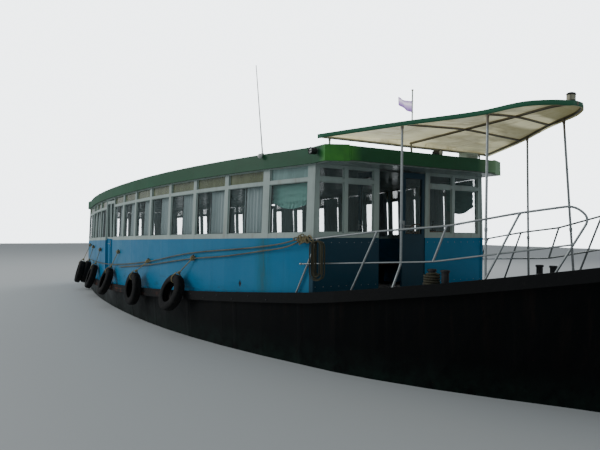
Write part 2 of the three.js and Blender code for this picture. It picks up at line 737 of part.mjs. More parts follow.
function canopyFrame() {
  const drop = TUBE_RADIUS + 4;
  const rows = CANOPY_EDGE;
  const nose = rows[rows.length - 1];
  const first = { ...rows[0], ahead: rows[0].ahead - TUBE_OVERRUN };
  const last = { ...nose, ahead: nose.ahead + TUBE_OVERRUN };
  const edge = (side, row) => [ahead(row.ahead), side * (row.half - TUBE_INSET), row.height - drop];
  const crown = (row) => [ahead(row.ahead), 0, row.height + row.crown - drop - 2];
  const outer = [first, ...canopyStops.slice(1)];
  const perimeter = [...outer.map((row) => edge(-1, row)), ...outer.map((row) => edge(1, row)).reverse()];
  const pieces = [
    tubeRun(perimeter, TUBE_RADIUS),
    tube(edge(-1, rows[0]), edge(1, rows[0])),
    tubeRun([first, ...canopyStops.slice(1, -1), last].map(crown), TUBE_RADIUS - 1),
    ...[rows[0], nose].map((row) => tube(crown(row), [ahead(row.ahead), 0, row.height - drop], STUB_RADIUS)),
    ...CROSS_TUBES.map((i) => tubeRun(
      [edge(-1, rows[i]), crown({ ...rows[i], ahead: rows[i].ahead + 3 }), edge(1, rows[i])], CROSS_TUBE_RADIUS)),
  ];
  POSTS.forEach(({ side, foot, knee, top }) => {
    const start = [...foot, deckAt(ahead(foot[0])) - DECK_SINK];
    const row = canopyRow(top);
    const end = [top, row.half - TUBE_INSET, row.height - drop - 4];
    const line = [start, ...knee, end].map(([distance, half, height]) => [ahead(distance), side * half, height]);
    pieces.push(standOnDeck(tubeRun(line, POST_RADIUS)));
  });
  CANOPY_STUBS.forEach((y) => {
    const x = ahead(rows[0].ahead + 2);
    pieces.push(standOnRoof(tube([x, y, roofLow], [x, y, rows[0].height - drop + 3], STUB_RADIUS)));
  });
  return joined(pieces);
}

// Foredeck rails: two tubes a side on raked stanchions

const UPPER_RAIL = [
  { ahead: -260, half: 1985, height: 1862 },
  { ahead: 60, half: 1875, height: 1875 },
  { ahead: 1050, half: 1530, height: 2000 },
  { ahead: 1970, half: 1170, height: 2080 },
  { ahead: 2810, half: 850, height: 2240 },
  { ahead: 3350, half: 620, height: 2320 },
  { ahead: 3500, half: 560, height: 2180 },
  { ahead: 3110, half: 670, height: 1480 },
];
const LOWER_RAIL = [
  { ahead: -190, half: 1962, height: 1500 },
  { ahead: 1780, half: 1215, height: 1620 },
  { ahead: 3330, half: 616, height: 1880 },
];
const STANCHIONS = [
  { foot: [-300, 1962], top: [115, 1856, 1882] },
  { foot: [620, 1640], top: [1050, 1530, 2000] },
  { foot: [2400, 975], top: [2810, 850, 2240] },
];
const HALF_STANCHION = { foot: [1780, 1215, 1620], top: [1970, 1170, 2080] };

function foredeckRail(side) {
  const at = (distance, half, height) => [ahead(distance), side * half, height];
  const line = (rows) => rows.map((row) => at(row.ahead, row.half, row.height));
  const pieces = [tubeRun(line(UPPER_RAIL), RAIL_RADIUS), tubeRun(line(LOWER_RAIL), LOWER_RAIL_RADIUS)];
  STANCHIONS.forEach(({ foot, top }) => {
    const low = deckAt(ahead(foot[0])) - DECK_SINK;
    pieces.push(tube(at(foot[0], foot[1], low), at(...top), RAIL_RADIUS));
  });
  pieces.push(tube(at(...HALF_STANCHION.foot), at(...HALF_STANCHION.top), RAIL_RADIUS));
  return standOnDeck(joined(pieces));
}

// Machinery: engine block in its well, casing and lid, shaft with propeller, rudder

const ENGINE = { aft: [6350, 7450], half: 310, top: -60 };
const CASING = { height: 330, wall: 40, low: 300 };
const LID = { thick: 35, gap: 5, overhang: 15 };
const wellX = [atAft(ENGINE_WELL.aft[1]), atAft(ENGINE_WELL.aft[0])];
const casingTop = sheerHeight(ENGINE_WELL.aft[0]) + CASING.height;

function engineBlock() {
  const bottom = ENGINE_WELL.floor + GAP;
  return box([atAft(ENGINE.aft[1]), atAft(ENGINE.aft[0])], [-ENGINE.half, ENGINE.half], [bottom, ENGINE.top]);
}

function engineCasing() {
  const { wall, low } = CASING;
  const half = ENGINE_WELL.half;
  const outer = box([wellX[0] - wall, wellX[1] + wall], [-half - wall, half + wall], [low, casingTop]);
  return standOnDeck(outer.subtract(box(wellX, [-half, half], [low - 10, casingTop + 10])));
}

function casingLid() {
  const reach = CASING.wall + LID.overhang;
  const half = ENGINE_WELL.half + reach;
  const low = casingTop + LID.gap;
  return box([wellX[0] - reach, wellX[1] + reach], [-half, half], [low, low + LID.thick]);
}

const PROPELLER_AFT = 13840;
const HUB = { radius: 62, length: 170 };
const BLADE = { count: 4, chord: 170, thick: 18, pitch: 32, root: 30 };

function propellerAndShaft() {
  const x = atAft(PROPELLER_AFT);
  const half = HUB.length / 2;
  const pieces = [
    cylinderBetween([x - half, 0, SHAFT_HEIGHT], [x + half, 0, SHAFT_HEIGHT], HUB.radius, 16),
    cylinderBetween([x, 0, SHAFT_HEIGHT], [atAft(ENGINE.aft[1]) - GAP, 0, SHAFT_HEIGHT], SHAFT_RADIUS, 12),
  ];
  for (let i = 0; i < BLADE.count; i += 1) {
    const blade = new THREE.BoxGeometry(BLADE.thick, BLADE.chord, PROPELLER_RADIUS - BLADE.root);
    blade.translate(0, 0, (PROPELLER_RADIUS + BLADE.root) / 2);
    blade.rotateZ(THREE.MathUtils.degToRad(BLADE.pitch));
    blade.rotateX(2 * Math.PI * i / BLADE.count);
    blade.translate(x, 0, SHAFT_HEIGHT);
    pieces.push(solidFromGeometry(blade));
  }
  return joined(pieces);
}

const RUDDER = { fore: -70, aftEdge: 470, half: 24, top: -230, clearance: 8, stockTop: 260 };
const TILLER = { length: 420, half: 22, below: [20, 60] };

function rudder() {
  const x = atAft(RUDDER_AFT);
  const low = KEEL_BOTTOM + HEEL_THICK + RUDDER.clearance;
  const blade = box([x - RUDDER.aftEdge, x - RUDDER.fore], [-RUDDER.half, RUDDER.half], [low, RUDDER.top]);
  const top = sheerHeight(RUDDER_AFT) + RUDDER.stockTop;
  const stock = cylinderBetween([x, 0, RUDDER.top - 20], [x, 0, top], STOCK_RADIUS, 16);
  const { length, half, below } = TILLER;
  const tiller = box([x, x + length], [-half, half], [top - below[1], top - below[0]]);
  return joined([blade, stock, tiller]);
}

// Inside: helm stand, wheel and the benches along the sides

const HELM = { aft: [260, 620], y: [560, 1290], height: 960 };
const WHEEL = { radius: 270, y: 925, height: 1010, aft: 720 };

function helmStand() {
  const low = sheerHeight(HELM.aft[1]) - DECK_SINK;
  const top = sheerHeight(HELM.aft[0]) + HELM.height;
  return standOnDeck(box([atAft(HELM.aft[1]), atAft(HELM.aft[0])], HELM.y, [low, top]));
}

const wheelCentre = [atAft(WHEEL.aft), WHEEL.y, sheerHeight(WHEEL.aft) + WHEEL.height - 160];

function steeringWheel() {
  const rim = new THREE.TorusGeometry(WHEEL.radius, 15, 6, 24);
  rim.rotateY(Math.PI / 2);
  rim.translate(...wheelCentre);
  const [x, y, z] = wheelCentre;
  const pieces = [solidFromGeometry(rim)];
  pieces.push(cylinderBetween([x - 20, y, z], [atAft(HELM.aft[1]) - GAP, y, z], 28, 12));
  for (let i = 0; i < 3; i += 1) {
    const angle = 2 * Math.PI * i / 6;
    const reach = WHEEL.radius;
    const tip = [reach * Math.cos(angle), reach * Math.sin(angle)];
    pieces.push(cylinderBetween([x, y - tip[0], z - tip[1]], [x, y + tip[0], z + tip[1]], 10, 8));
  }
  return joined(pieces);
}

const BENCH = { from: 1700, to: 7500, depth: [-540, -110], seat: 430, thick: 50, legs: 5, legWidth: 60 };

function bench(line) {
  const seatLow = (aft) => sheerHeight(aft) + BENCH.seat - BENCH.thick;
  const seatHigh = (aft) => sheerHeight(aft) + BENCH.seat;
  const pieces = [band(line, BENCH.from, BENCH.to, BENCH.depth, seatLow, seatHigh)];
  for (let i = 0; i < BENCH.legs; i += 1) {
    const start = BENCH.from + 100 + i * (BENCH.to - BENCH.from - 260) / (BENCH.legs - 1);
    const across = [BENCH.depth[0] + 30, BENCH.depth[1] - 30];
    pieces.push(band(line, start, start + BENCH.legWidth, across, intoDeck, (aft) => seatLow(aft) + 10));
  }
  return standOnDeck(joined(pieces));
}

// Deck and roof fittings

const BITT = { ahead: 1800, half: 1130, radius: 48, spread: 115, height: 210, base: [430, 150, 26] };

function bitt(side) {
  const x = ahead(BITT.ahead);
  const y = side * BITT.half;
  const floor = deckAt(x);
  const [length, width, thick] = BITT.base;
  const plate = [x, y].map((middle, i) => [middle - [length, width][i] / 2, middle + [length, width][i] / 2]);
  const pieces = [box(...plate, [floor - 80, floor + thick])];
  [-1, 1].forEach((end) => {
    const postX = x + end * BITT.spread;
    pieces.push(cylinderBetween([postX, y, floor], [postX, y, floor + BITT.height], BITT.radius, 16));
  });
  return standOnDeck(joined(pieces));
}

function latheAt(profile, segments, from, to) {
  const geometry = new THREE.LatheGeometry(profile.map(([r, h]) => new THREE.Vector2(r, h)), segments);
  const direction = new THREE.Vector3(...to).sub(new THREE.Vector3(...from)).normalize();
  geometry.applyQuaternion(new THREE.Quaternion().setFromUnitVectors(new THREE.Vector3(0, 1, 0), direction));
  geometry.translate(...from);
  return solidFromGeometry(geometry);
}

const TYRE = { outer: 350, inner: 195, half: 88, shoulder: 45, bead: 45, beadStep: 20 };
const tyreProfile = [
  [TYRE.inner, -TYRE.half + TYRE.beadStep],
  [TYRE.inner + TYRE.bead, -TYRE.half],
  [TYRE.outer - TYRE.shoulder, -TYRE.half],
  [TYRE.outer, -TYRE.half + TYRE.shoulder],
  [TYRE.outer, TYRE.half - TYRE.shoulder],
  [TYRE.outer - TYRE.shoulder, TYRE.half],
  [TYRE.inner + TYRE.bead, TYRE.half],
  [TYRE.inner, TYRE.half - TYRE.beadStep],
  [TYRE.inner, -TYRE.half + TYRE.beadStep],
];

// Tyres hang on the rub rail as fenders, each with its top leant in against the wall by some degrees.
// Layer 1 hangs outside another tyre.
const TYRES = [
  { name: 'tyre_starboard_1', side: -1, aft: 3450, height: 800, lean: 20, layer: 0 },
  { name: 'tyre_starboard_2', side: -1, aft: 5500, height: 690, lean: 7, layer: 0 },
  { name: 'tyre_starboard_3', side: -1, aft: 8050, height: 640, lean: 20, layer: 0 },
  { name: 'tyre_starboard_4', side: -1, aft: 10500, height: 570, lean: 18, layer: 0 },
  { name: 'tyre_starboard_5', side: -1, aft: 12500, height: 560, lean: 15, layer: 0 },
  { name: 'tyre_starboard_6', side: -1, aft: 12500, height: 520, lean: 15, layer: 1 },
  { name: 'tyre_port_1', side: 1, aft: 3450, height: 800, lean: 12, layer: 0 },
  { name: 'tyre_port_2', side: 1, aft: 5500, height: 690, lean: 7, layer: 0 },
];
const TYRE_GAP = 4;
const RAIL_FACE = HULL_EDGE + RAIL_DEPTH + 12;

function tyre({ side, aft, height, lean, layer }) {
  const stop = stopAt(outline, aft);
  const angle = THREE.MathUtils.degToRad(lean);
  const railTop = sheerHeight(aft) + RAIL_RISE;
  const out = RAIL_FACE + TYRE.half / Math.cos(angle) + (railTop - height) * Math.tan(angle);
  const far = layer * (2 * TYRE.half + TYRE_GAP);
  const along = (distance) => {
    const reach = out + distance * Math.cos(angle);
    return [
      stop.x + stop.outX * reach,
      -side * (stop.y + stop.outY * reach),
      height + distance * Math.sin(angle),
    ];
  };
  return latheAt(tyreProfile, 20, along(far), along(far + 1));
}

const ANTENNA = { aft: 1230, inboard: 110, top: 4730, radius: 9, base: 26 };

function antenna() {
  const x = atAft(ANTENNA.aft);
  const y = stopAt(outline, ANTENNA.aft).y + ANTENNA.inboard;
  const foot = sillHeight(ANTENNA.aft) + WINDOW_BAND + ROOF_THICK / 2;
  return standOnRoof(joined([
    cylinderBetween([x, y, foot], [x, y, foot + 240], ANTENNA.base, 8),
    cylinderBetween([x, y, foot + 200], [x - 250, y, ANTENNA.top], ANTENNA.radius, 6),
  ]));
}

const FLAGSTAFF = { ahead: -20, y: 110, top: 4330, radius: 12 };
const FLAG = { length: 330, height: 240, thick: 8, low: 3940 };

function flagstaff() {
  const x = ahead(FLAGSTAFF.ahead);
  const { y, top, radius } = FLAGSTAFF;
  return standOnRoof(cylinderBetween([x, y, roofLow], [x, y, top], radius, 8));
}

function flag() {
  const x = ahead(FLAGSTAFF.ahead);
  const y = FLAGSTAFF.y - FLAGSTAFF.radius - GAP;
  const { length, height, thick, low } = FLAG;
  return box([x - thick / 2, x + thick / 2], [y - length, y], [low, low + height]);
}

const SEARCHLIGHT = { ahead: 250, y: 420, height: 3290, radius: 50, half: 70, foot: 18 };

function searchlight() {
  const { y, height, radius, half } = SEARCHLIGHT;
  const x = ahead(SEARCHLIGHT.ahead);
  const foot = cylinderBetween([x, y, roofLow], [x, y, height - 10], SEARCHLIGHT.foot, 8);
  const body = cylinderBetween([x - half, y, height], [x + half, y, height], radius, 16);
  return standOnRoof(joined([foot, body]));
}

const VENT = { ahead: [140, 320], y: [1050, 1330], top: 3345 };

function roofVent() {
  return standOnRoof(box(VENT.ahead.map(ahead), VENT.y, [roofLow, VENT.top]));
}

const LAMP = { ahead: 130, height: 3150, radius: 50, depth: 85, face: 1925 };

function fasciaLamp() {
  const { height, radius, depth, face } = LAMP;
  const x = ahead(LAMP.ahead);
  return cylinderBetween([x, -face, height], [x, -face - depth, height], radius, 16);
}

// A lamp with an overhanging cap stands on the canopy's nose.
const CANOPY_LAMP = { ahead: 2870, y: 40, radius: 54, height: 112, capRadius: 62, capThick: 24 };

function canopyLamp() {
  const { y, radius, height, capRadius, capThick } = CANOPY_LAMP;
  const row = canopyRow(CANOPY_LAMP.ahead);
  const x = ahead(row.ahead);
  const foot = row.height + row.crown + CANOPY_THICK;
  const top = foot + height;
  const sheet = canopySheet().translate([0, 0, GAP]);
  return largestBody(joined([
    cylinderBetween([x, y, foot - 20], [x, y, top - capThick / 2], radius, 12),
    cylinderBetween([x, y, top - capThick], [x, y, top], capRadius, 12),
  ]).subtract(sheet));
}

// Ropes: a hank on the rail at the cabin's corner and two lines slung along the wall

const ROPE_RADIUS = 12;
const ROPE_SECTION_SIDES = 8;

// Each row is a distance aft, how far outside the wall, and a height.
const ROPE_UPPER = [
  [60, 120, 1790], [600, 45, 1790], [1250, 32, 1710], [3100, 32, 1550], [5100, 32, 1290],
  [7600, 32, 1085], [8900, 32, 1025], [11000, 32, 970], [13100, 32, 930],
];
const ROPE_LOWER = [
  [60, 170, 1740], [500, 60, 1740], [1050, 34, 1660], [1950, 32, 1545], [3050, 32, 1450],
  [5100, 32, 1220], [7300, 32, 1040],
];

function circleShape(radius, sides) {
  const shape = new THREE.Shape();
  for (let i = 0; i < sides; i += 1) {
    const angle = 2 * Math.PI * i / sides;
    const point = [radius * Math.cos(angle), radius * Math.sin(angle)];
    if (i === 0) shape.moveTo(...point);
    else shape.lineTo(...point);
  }
  return shape;
}

function wallRope(rows, steps) {
  const points = rows.map(([along, out, height]) => {
    const stop = stopAt(outline, along);
    return new THREE.Vector3(stop.x + stop.outX * out, stop.y + stop.outY * out, height);
  });
  const path = new THREE.CatmullRomCurve3(points);
  const section = circleShape(ROPE_RADIUS, ROPE_SECTION_SIDES);
  return solidFromGeometry(new THREE.ExtrudeGeometry(section, { steps, extrudePath: path }));
}

const HANK = { ahead: 200, half: 1880, low: 1300, high: 1850, width: 230, thick: 80, turn: 19 };

function ropeHank() {
  const radius = HANK.width / 2;
  const shape = new THREE.Shape();
  shape.absarc(0, HANK.low + radius, radius, Math.PI, 2 * Math.PI, false);
  shape.absarc(0, HANK.high - radius, radius, 0, Math.PI, false);
  const geometry = new THREE.ExtrudeGeometry(shape, { depth: HANK.thick, bevelEnabled: false, curveSegments: 8 });
  geometry.rotateX(Math.PI / 2);
  geometry.rotateZ(THREE.MathUtils.degToRad(HANK.turn));
  geometry.translate(ahead(HANK.ahead), -HANK.half, 0);
  return solidFromGeometry(geometry);
}

// The assembly

const pieces = [
  node('hull', hull, HULL_BLACK),
  node('keel', makeKeel(), HULL_BLACK),
  node('rub_rail', rubRail(), HULL_BLACK),
  node('window_frame_starboard', windowFrame(RUNS[0]), PAINT_WHITE),
  node('window_frame_aft', aftFrame(RUNS[1]), PAINT_WHITE),
  node('window_frame_port', windowFrame(RUNS[2]), PAINT_WHITE),
  ...RUNS.map((run) => node(`glass_${run.name}`, glassRun(run), GLASS)),
  node('wall_starboard', lowerWall(RUNS[0]), PAINT_BLUE),
  node('wall_aft', aftWall(RUNS[1]), PAINT_BLUE),
  node('wall_port', lowerWall(RUNS[2]), PAINT_BLUE),
  ...FRONT_PANELS.map((panel) => node(`front_panel_${panel.name}`, frontPanel(panel), PAINT_BLUE)),
  ...FRONT_PANELS.map((panel) => node(`front_frame_${panel.name}`, frontFrame(panel), PAINT_WHITE)),
  ...FRONT_PANELS.map((panel) => node(`front_glass_${panel.name}`, frontGlass(panel), GLASS)),
  ...FRONT_LEAVES.map((leaf) => (
    node(leaf.name, placedLeaf(frontLeaf(LEAF_WIDTH, leaf.mirrored), leaf.degrees, leaf.hinge), PAINT_BLUE))),
  ...BOARDING_LEAVES.map((row) => node(row.name, placedBoardingLeaf(row), PAINT_BLUE)),
  node('roof', roof, PAINT_WHITE),
  node('fascia_side', sideFascia(), PAINT_GREEN),
  node('fascia_front', frontFascia(), PAINT_GREEN),
  node('engine', engineBlock(), DARK_METAL),
  node('engine_casing', engineCasing(), PAINT_WHITE),
  node('engine_casing_lid', casingLid(), PAINT_WHITE),
  node('propeller_and_shaft', propellerAndShaft(), BRONZE),
  node('rudder', rudder(), HULL_BLACK),
  node('helm_stand', helmStand(), TIMBER),
  node('steering_wheel', steeringWheel(), TIMBER),
  node('bench_starboard', bench(outline), TIMBER),
  node('bench_port', bench(outline).mirror([0, 1, 0]), TIMBER),
  node('canopy_sheet', canopySheet(), CANVAS),
  node('canopy_frame', canopyFrame(), GALVANISED),
  node('rail_starboard', foredeckRail(-1), GALVANISED),
  node('rail_port', foredeckRail(1), GALVANISED),
  node('bitt_starboard', bitt(-1), DARK_METAL),
  node('bitt_port', bitt(1), DARK_METAL),
  ...TYRES.map((row) => node(row.name, tyre(row), RUBBER)),
  node('antenna', antenna(), PAINT_WHITE),
  node('flagstaff', flagstaff(), PAINT_WHITE),
  node('flag', flag(), CANVAS),
  node('searchlight', searchlight(), DARK_METAL),
  node('roof_vent', roofVent(), PAINT_WHITE),
  node('fascia_lamp', fasciaLamp(), DARK_METAL),
  node('canopy_lamp', canopyLamp(), PAINT_WHITE),
  node('rope_hank', ropeHank(), ROPE),
  node('rope_upper', wallRope(ROPE_UPPER, 42), ROPE),
  node('rope_lower', wallRope(ROPE_LOWER, 32), ROPE),
];

const ferry = new THREE.Group();
ferry.add(...pieces);

export default ferry;
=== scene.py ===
"""The looks of a small passenger ferry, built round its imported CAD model, as a Blender add-on."""

import math
import random

import bmesh
import bpy
from bpy.props import FloatProperty, FloatVectorProperty, IntProperty, PointerProperty
from mathutils import Matrix, Vector


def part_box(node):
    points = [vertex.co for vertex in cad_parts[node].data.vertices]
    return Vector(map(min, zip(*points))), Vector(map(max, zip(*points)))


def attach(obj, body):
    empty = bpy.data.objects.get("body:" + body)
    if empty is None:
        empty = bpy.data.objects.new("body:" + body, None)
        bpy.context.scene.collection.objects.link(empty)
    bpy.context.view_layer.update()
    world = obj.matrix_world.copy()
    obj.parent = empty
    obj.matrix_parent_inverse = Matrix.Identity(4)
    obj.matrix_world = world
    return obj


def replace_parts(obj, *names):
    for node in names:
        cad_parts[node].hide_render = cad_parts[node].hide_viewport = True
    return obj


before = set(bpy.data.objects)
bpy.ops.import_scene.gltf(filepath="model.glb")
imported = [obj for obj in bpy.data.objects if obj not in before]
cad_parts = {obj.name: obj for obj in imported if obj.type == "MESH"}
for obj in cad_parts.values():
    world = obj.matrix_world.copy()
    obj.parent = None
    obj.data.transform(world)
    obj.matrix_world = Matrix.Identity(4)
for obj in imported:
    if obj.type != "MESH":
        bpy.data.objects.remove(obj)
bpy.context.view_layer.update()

bl_info = {
    "name": "Passenger Ferry",
    "version": (1, 0, 0),
    "blender": (4, 5, 0),
    "location": "View3D > Sidebar > Ferry",
    "description": "Builds the paint, glass, cloth, ropes and fittings of a small passenger ferry",
    "category": "Add Mesh",
}

BODY = "boat"
SEED = 7
SHARP_ANGLE = math.radians(42)
MATERIALS = {}

# Plan and heights of the boat, in metres, as distances aft of the cabin's front wall

CABIN_FRONT = 5.43
FIRST_BAY = 1.02
BAY = 1.032
DOOR_START = FIRST_BAY + 7 * BAY
DOOR_END = DOOR_START + BAY
LAST_PILLAR = DOOR_END + 4 * BAY
STERN_STEPS = 5
STERN_ROUND = 2.3
STERN_STEP_ALONG = 0.4
INWARD_LEAN = 0.035
WINDOW_BAND = 1.1
SILL_BAND = 0.075
TRANSOM_LOW = 0.845
TRANSOM_HIGH = 0.905
HEAD_LOW = 1.065
SIDE_HEAD_LOW = 1.083
FRONT_POST = 0.07
SIDE_POST = 0.105
HELM_POST = 0.150
CORNER_POST = 0.145
HULL_EDGE = 0.06
FRONT_WALL = (CABIN_FRONT - 0.07, CABIN_FRONT - 0.02)
DOORWAY = (-0.58, 0.43)


def half_breadth(aft):
    if aft < 0:
        return 1.86 * (1 - min(1, -aft / 4.7) ** 1.2)
    factor = 0.70 / 5.3 ** 2 if aft < 5.3 else 1.01 / 8.7 ** 2
    return 2.56 - factor * (aft - 5.3) ** 2


def sheer_height(aft):
    if aft < 0:
        return 1.065 - 0.12 * aft + 0.009 * aft ** 2
    return 1.065 - 0.083 * aft + 0.0025 * aft ** 2


def sill_height(aft):
    return 1.893 - 0.0267 * aft


def pillar_places():
    fore = [0, FIRST_BAY] + [FIRST_BAY + BAY * (i + 1) for i in range(7)]
    return fore + [DOOR_END + BAY * i for i in range(4)]


PILLARS = pillar_places()


def cabin_outline():
    """Stops round the cabin from the starboard front corner to the port one, with outward ways."""
    side = [{"along": aft, "aft": aft, "y": -half_breadth(aft)} for aft in PILLARS]
    last_half = half_breadth(LAST_PILLAR)
    for i in range(1, STERN_STEPS + 1):
        angle = i / STERN_STEPS * math.pi / 2
        side.append({
            "along": LAST_PILLAR + i * STERN_STEP_ALONG,
            "aft": LAST_PILLAR + STERN_ROUND * math.sin(angle),
            "y": -last_half * math.cos(angle),
        })
    end = side[-1]["along"]
    port = [{"along": 2 * end - s["along"], "aft": s["aft"], "y": -s["y"]} for s in reversed(side[:-1])]
    stops = side + port
    for i, stop in enumerate(stops):
        before = stops[max(0, i - 1)]
        after = stops[min(len(stops) - 1, i + 1)]
        dx = before["aft"] - after["aft"]
        dy = after["y"] - before["y"]
        length = math.hypot(dx, dy)
        stop["out_x"] = -dy / length
        stop["out_y"] = dx / length
        stop["x"] = CABIN_FRONT - stop["aft"]
    return stops


OUTLINE = cabin_outline()
OUTLINE_END = OUTLINE[-1]["along"]


def stop_at(along):
    after = next(i for i, s in enumerate(OUTLINE) if s["along"] >= along - 1e-9 and i > 0)
    a, b = OUTLINE[after - 1], OUTLINE[after]
    t = (along - a["along"]) / (b["along"] - a["along"])
    return {key: a[key] + (b[key] - a[key]) * t for key in ("aft", "x", "y", "out_x", "out_y")}


def wall_point(along, out, height):
    """A point beside the cabin wall; the wall leans in above the sill."""
    stop = stop_at(along)
    reach = out - INWARD_LEAN * max(0, height - sill_height(stop["aft"]))
    return Vector((stop["x"] + stop["out_x"] * reach, stop["y"] + stop["out_y"] * reach, height))


def above_sill(along, rise):
    return sill_height(stop_at(along)["aft"]) + rise


# Meshes

UP = (0, 0, 1)
ALONG = Vector((1, 0, 0))
ACROSS = Vector((0, 1, 0))


SLAB_FACES = [(0, 1, 3, 2), (4, 6, 7, 5), (0, 4, 5, 1), (2, 3, 7, 6), (0, 2, 6, 4), (1, 5, 7, 3)]


def upward(height):
    return Vector((0, 0, height))


class Surface:
    """Points and faces that grow into one mesh."""

    def __init__(self):
        self.points = []
        self.faces = []
        self.uvs = []

    def add(self, points, faces, uvs=None):
        base = len(self.points)
        self.points += [tuple(p) for p in points]
        self.faces += [tuple(base + i for i in face) for face in faces]
        self.uvs += [tuple(uv) for uv in uvs] if uvs else [(0.0, 0.0)] * len(points)

    def slab(self, corners):
        """Six faces round eight corners, given in the order of three nested pairs."""
        self.add(corners, SLAB_FACES)

    def box(self, low, high):
        xs, ys, zs = zip(low, high)
        self.slab([(x, y, z) for x in xs for y in ys for z in zs])

    def rings(self, rings, closed_ring=True, caps=False, loop=False, lengths=None):
        """Faces between rings of equal length."""
        count = len(rings[0])
        total = len(rings)
        faces = []
        for r in range(total if loop else total - 1):
            a = r * count
            b = (r + 1) % total * count
            for i in range(count if closed_ring else count - 1):
                j = (i + 1) % count
                faces.append((a + i, a + j, b + j, b + i))
        if caps:
            faces.append(tuple(reversed(range(count))))
            faces.append(tuple((total - 1) * count + i for i in range(count)))
        lengths = lengths or [r / max(1, total - 1) for r in range(total)]
        uvs = [(i / count, length) for length in lengths for i in range(count)]
        self.add([p for ring in rings for p in ring], faces, uvs)

    def cloth(self, rows, columns, place):
        """An open sheet of points, placed by their shares across and down."""
        rings = [[place(k / columns, r / rows) for k in range(columns + 1)] for r in range(rows + 1)]
        self.rings(rings, closed_ring=False)
        return rings

    def tube(self, points, radius, sides=12, loop=False):
        """A round tube through points; radius may be one number or one for each point."""
        points = [Vector(p) for p in points]
        radii = radius if isinstance(radius, list) else [radius] * len(points)
        rings = [[point + way * reach for way in round_ways(sides, side, lift)]
                 for (point, side, lift), reach in zip(frames_along(points, loop), radii)]
        self.rings(rings, caps=not loop, loop=loop, lengths=line_lengths(points))

    def lathe(self, profile, origin, axis=UP, segments=24, closed=False):
        """Turns (radius, height) rows about an axis that starts at origin."""
        axis = Vector(axis).normalized()
        side = axis.orthogonal().normalized()
        origin = Vector(origin)
        rings = [[origin + way * r + axis * h for r, h in profile]
                 for way in round_ways(segments, side, axis.cross(side))]
        self.rings(rings, closed_ring=closed, loop=True, lengths=[k / segments for k in range(segments)])


def round_ways(count, side, lift, start=0.0):
    """Unit ways at even angles, from side towards lift."""
    angles = [2 * math.pi * k / count + start for k in range(count)]
    return [side * math.cos(angle) + lift * math.sin(angle) for angle in angles]


def frames_along(points, loop=False):
    """Each point with two ways across the line, carried along without twist."""
    count = len(points)
    ways = []
    for i in range(count):
        before = points[(i - 1) % count] if loop else points[max(0, i - 1)]
        after = points[(i + 1) % count] if loop else points[min(count - 1, i + 1)]
        ways.append((after - before).normalized())
    side = ways[0].orthogonal().normalized()
    frames = []
    for point, way in zip(points, ways):
        side = (side - way * side.dot(way)).normalized()
        frames.append((point, side, way.cross(side)))
    return frames


def smooth_line(rows, step):
    """A centripetal Catmull-Rom line through rows, resampled to about step apart."""
    rows = [Vector(r) for r in rows]
    rows = [rows[0] * 2 - rows[1], *rows, rows[-1] * 2 - rows[-2]]
    fine = []
    for i in range(1, len(rows) - 2):
        p = rows[i - 1:i + 3]
        knots = [0.0]
        for a, b in zip(p, p[1:]):
            knots.append(knots[-1] + max(1e-6, (b - a).length) ** 0.5)
        for k in range(24):
            t = knots[1] + (knots[2] - knots[1]) * k / 24
            fine.append(catmull_point(p, knots, t))
    fine.append(rows[-2])
    return spaced_line(fine, step)


def catmull_point(p, knots, t):
    def between(a, b, i, j):
        share = (t - knots[i]) / (knots[j] - knots[i])
        return a + (b - a) * share
    a1 = between(p[0], p[1], 0, 1)
    a2 = between(p[1], p[2], 1, 2)
    a3 = between(p[2], p[3], 2, 3)
    b1 = between(a1, a2, 0, 2)
    b2 = between(a2, a3, 1, 3)
    return between(b1, b2, 1, 2)


def line_lengths(points):
    """The distance along a line at each of its points."""
    lengths = [0.0]
    for a, b in zip(points, points[1:]):
        lengths.append(lengths[-1] + (b - a).length)
    return lengths


def spaced_line(points, step):
    """The same line with points about a step apart."""
    lengths = line_lengths(points)
    count = max(2, round(lengths[-1] / step))
    out = []
    i = 0
    for k in range(count + 1):
        want = lengths[-1] * k / count
        while i < len(points) - 2 and lengths[i + 1] < want:
            i += 1
        span = max(1e-9, lengths[i + 1] - lengths[i])
        out.append(points[i].lerp(points[i + 1], (want - lengths[i]) / span))
    return out


def laid_rope(points, radius, pitch=0.085):
    """A three-strand rope: three rounded lobes that wind round the line."""
    surface = Surface()
    reaches = [radius, radius, radius * 0.80] * 3
    rings = []
    lengths = line_lengths(points)
    for (point, side, lift), length in zip(frames_along(points), lengths):
        ways = round_ways(9, side, lift, 2 * math.pi * length / pitch)
        rings.append([point + way * reach for way, reach in zip(ways, reaches)])
    surface.rings(rings, caps=True, lengths=lengths)
    return surface


def piece(name, surface, finish, body=BODY, smooth=True, bevel=0.0, level=0):
    """Makes a surface into an object that rides a body."""
    mesh = bpy.data.meshes.new(name)
    mesh.from_pydata(surface.points, [], surface.faces)
    layer = mesh.uv_layers.new(name="UVMap")
    layer.data.foreach_set("uv", [c for loop in mesh.loops for c in surface.uvs[loop.vertex_index]])
    work = bmesh.new()
    work.from_mesh(mesh)
    bmesh.ops.recalc_face_normals(work, faces=work.faces)
    work.to_mesh(mesh)
    work.free()
    mesh.update()
    return dressed(name, mesh, finish, body, smooth, bevel, level)


def linked(name, data):
    made = bpy.data.objects.new(name, data)
    bpy.context.scene.collection.objects.link(made)
    return made


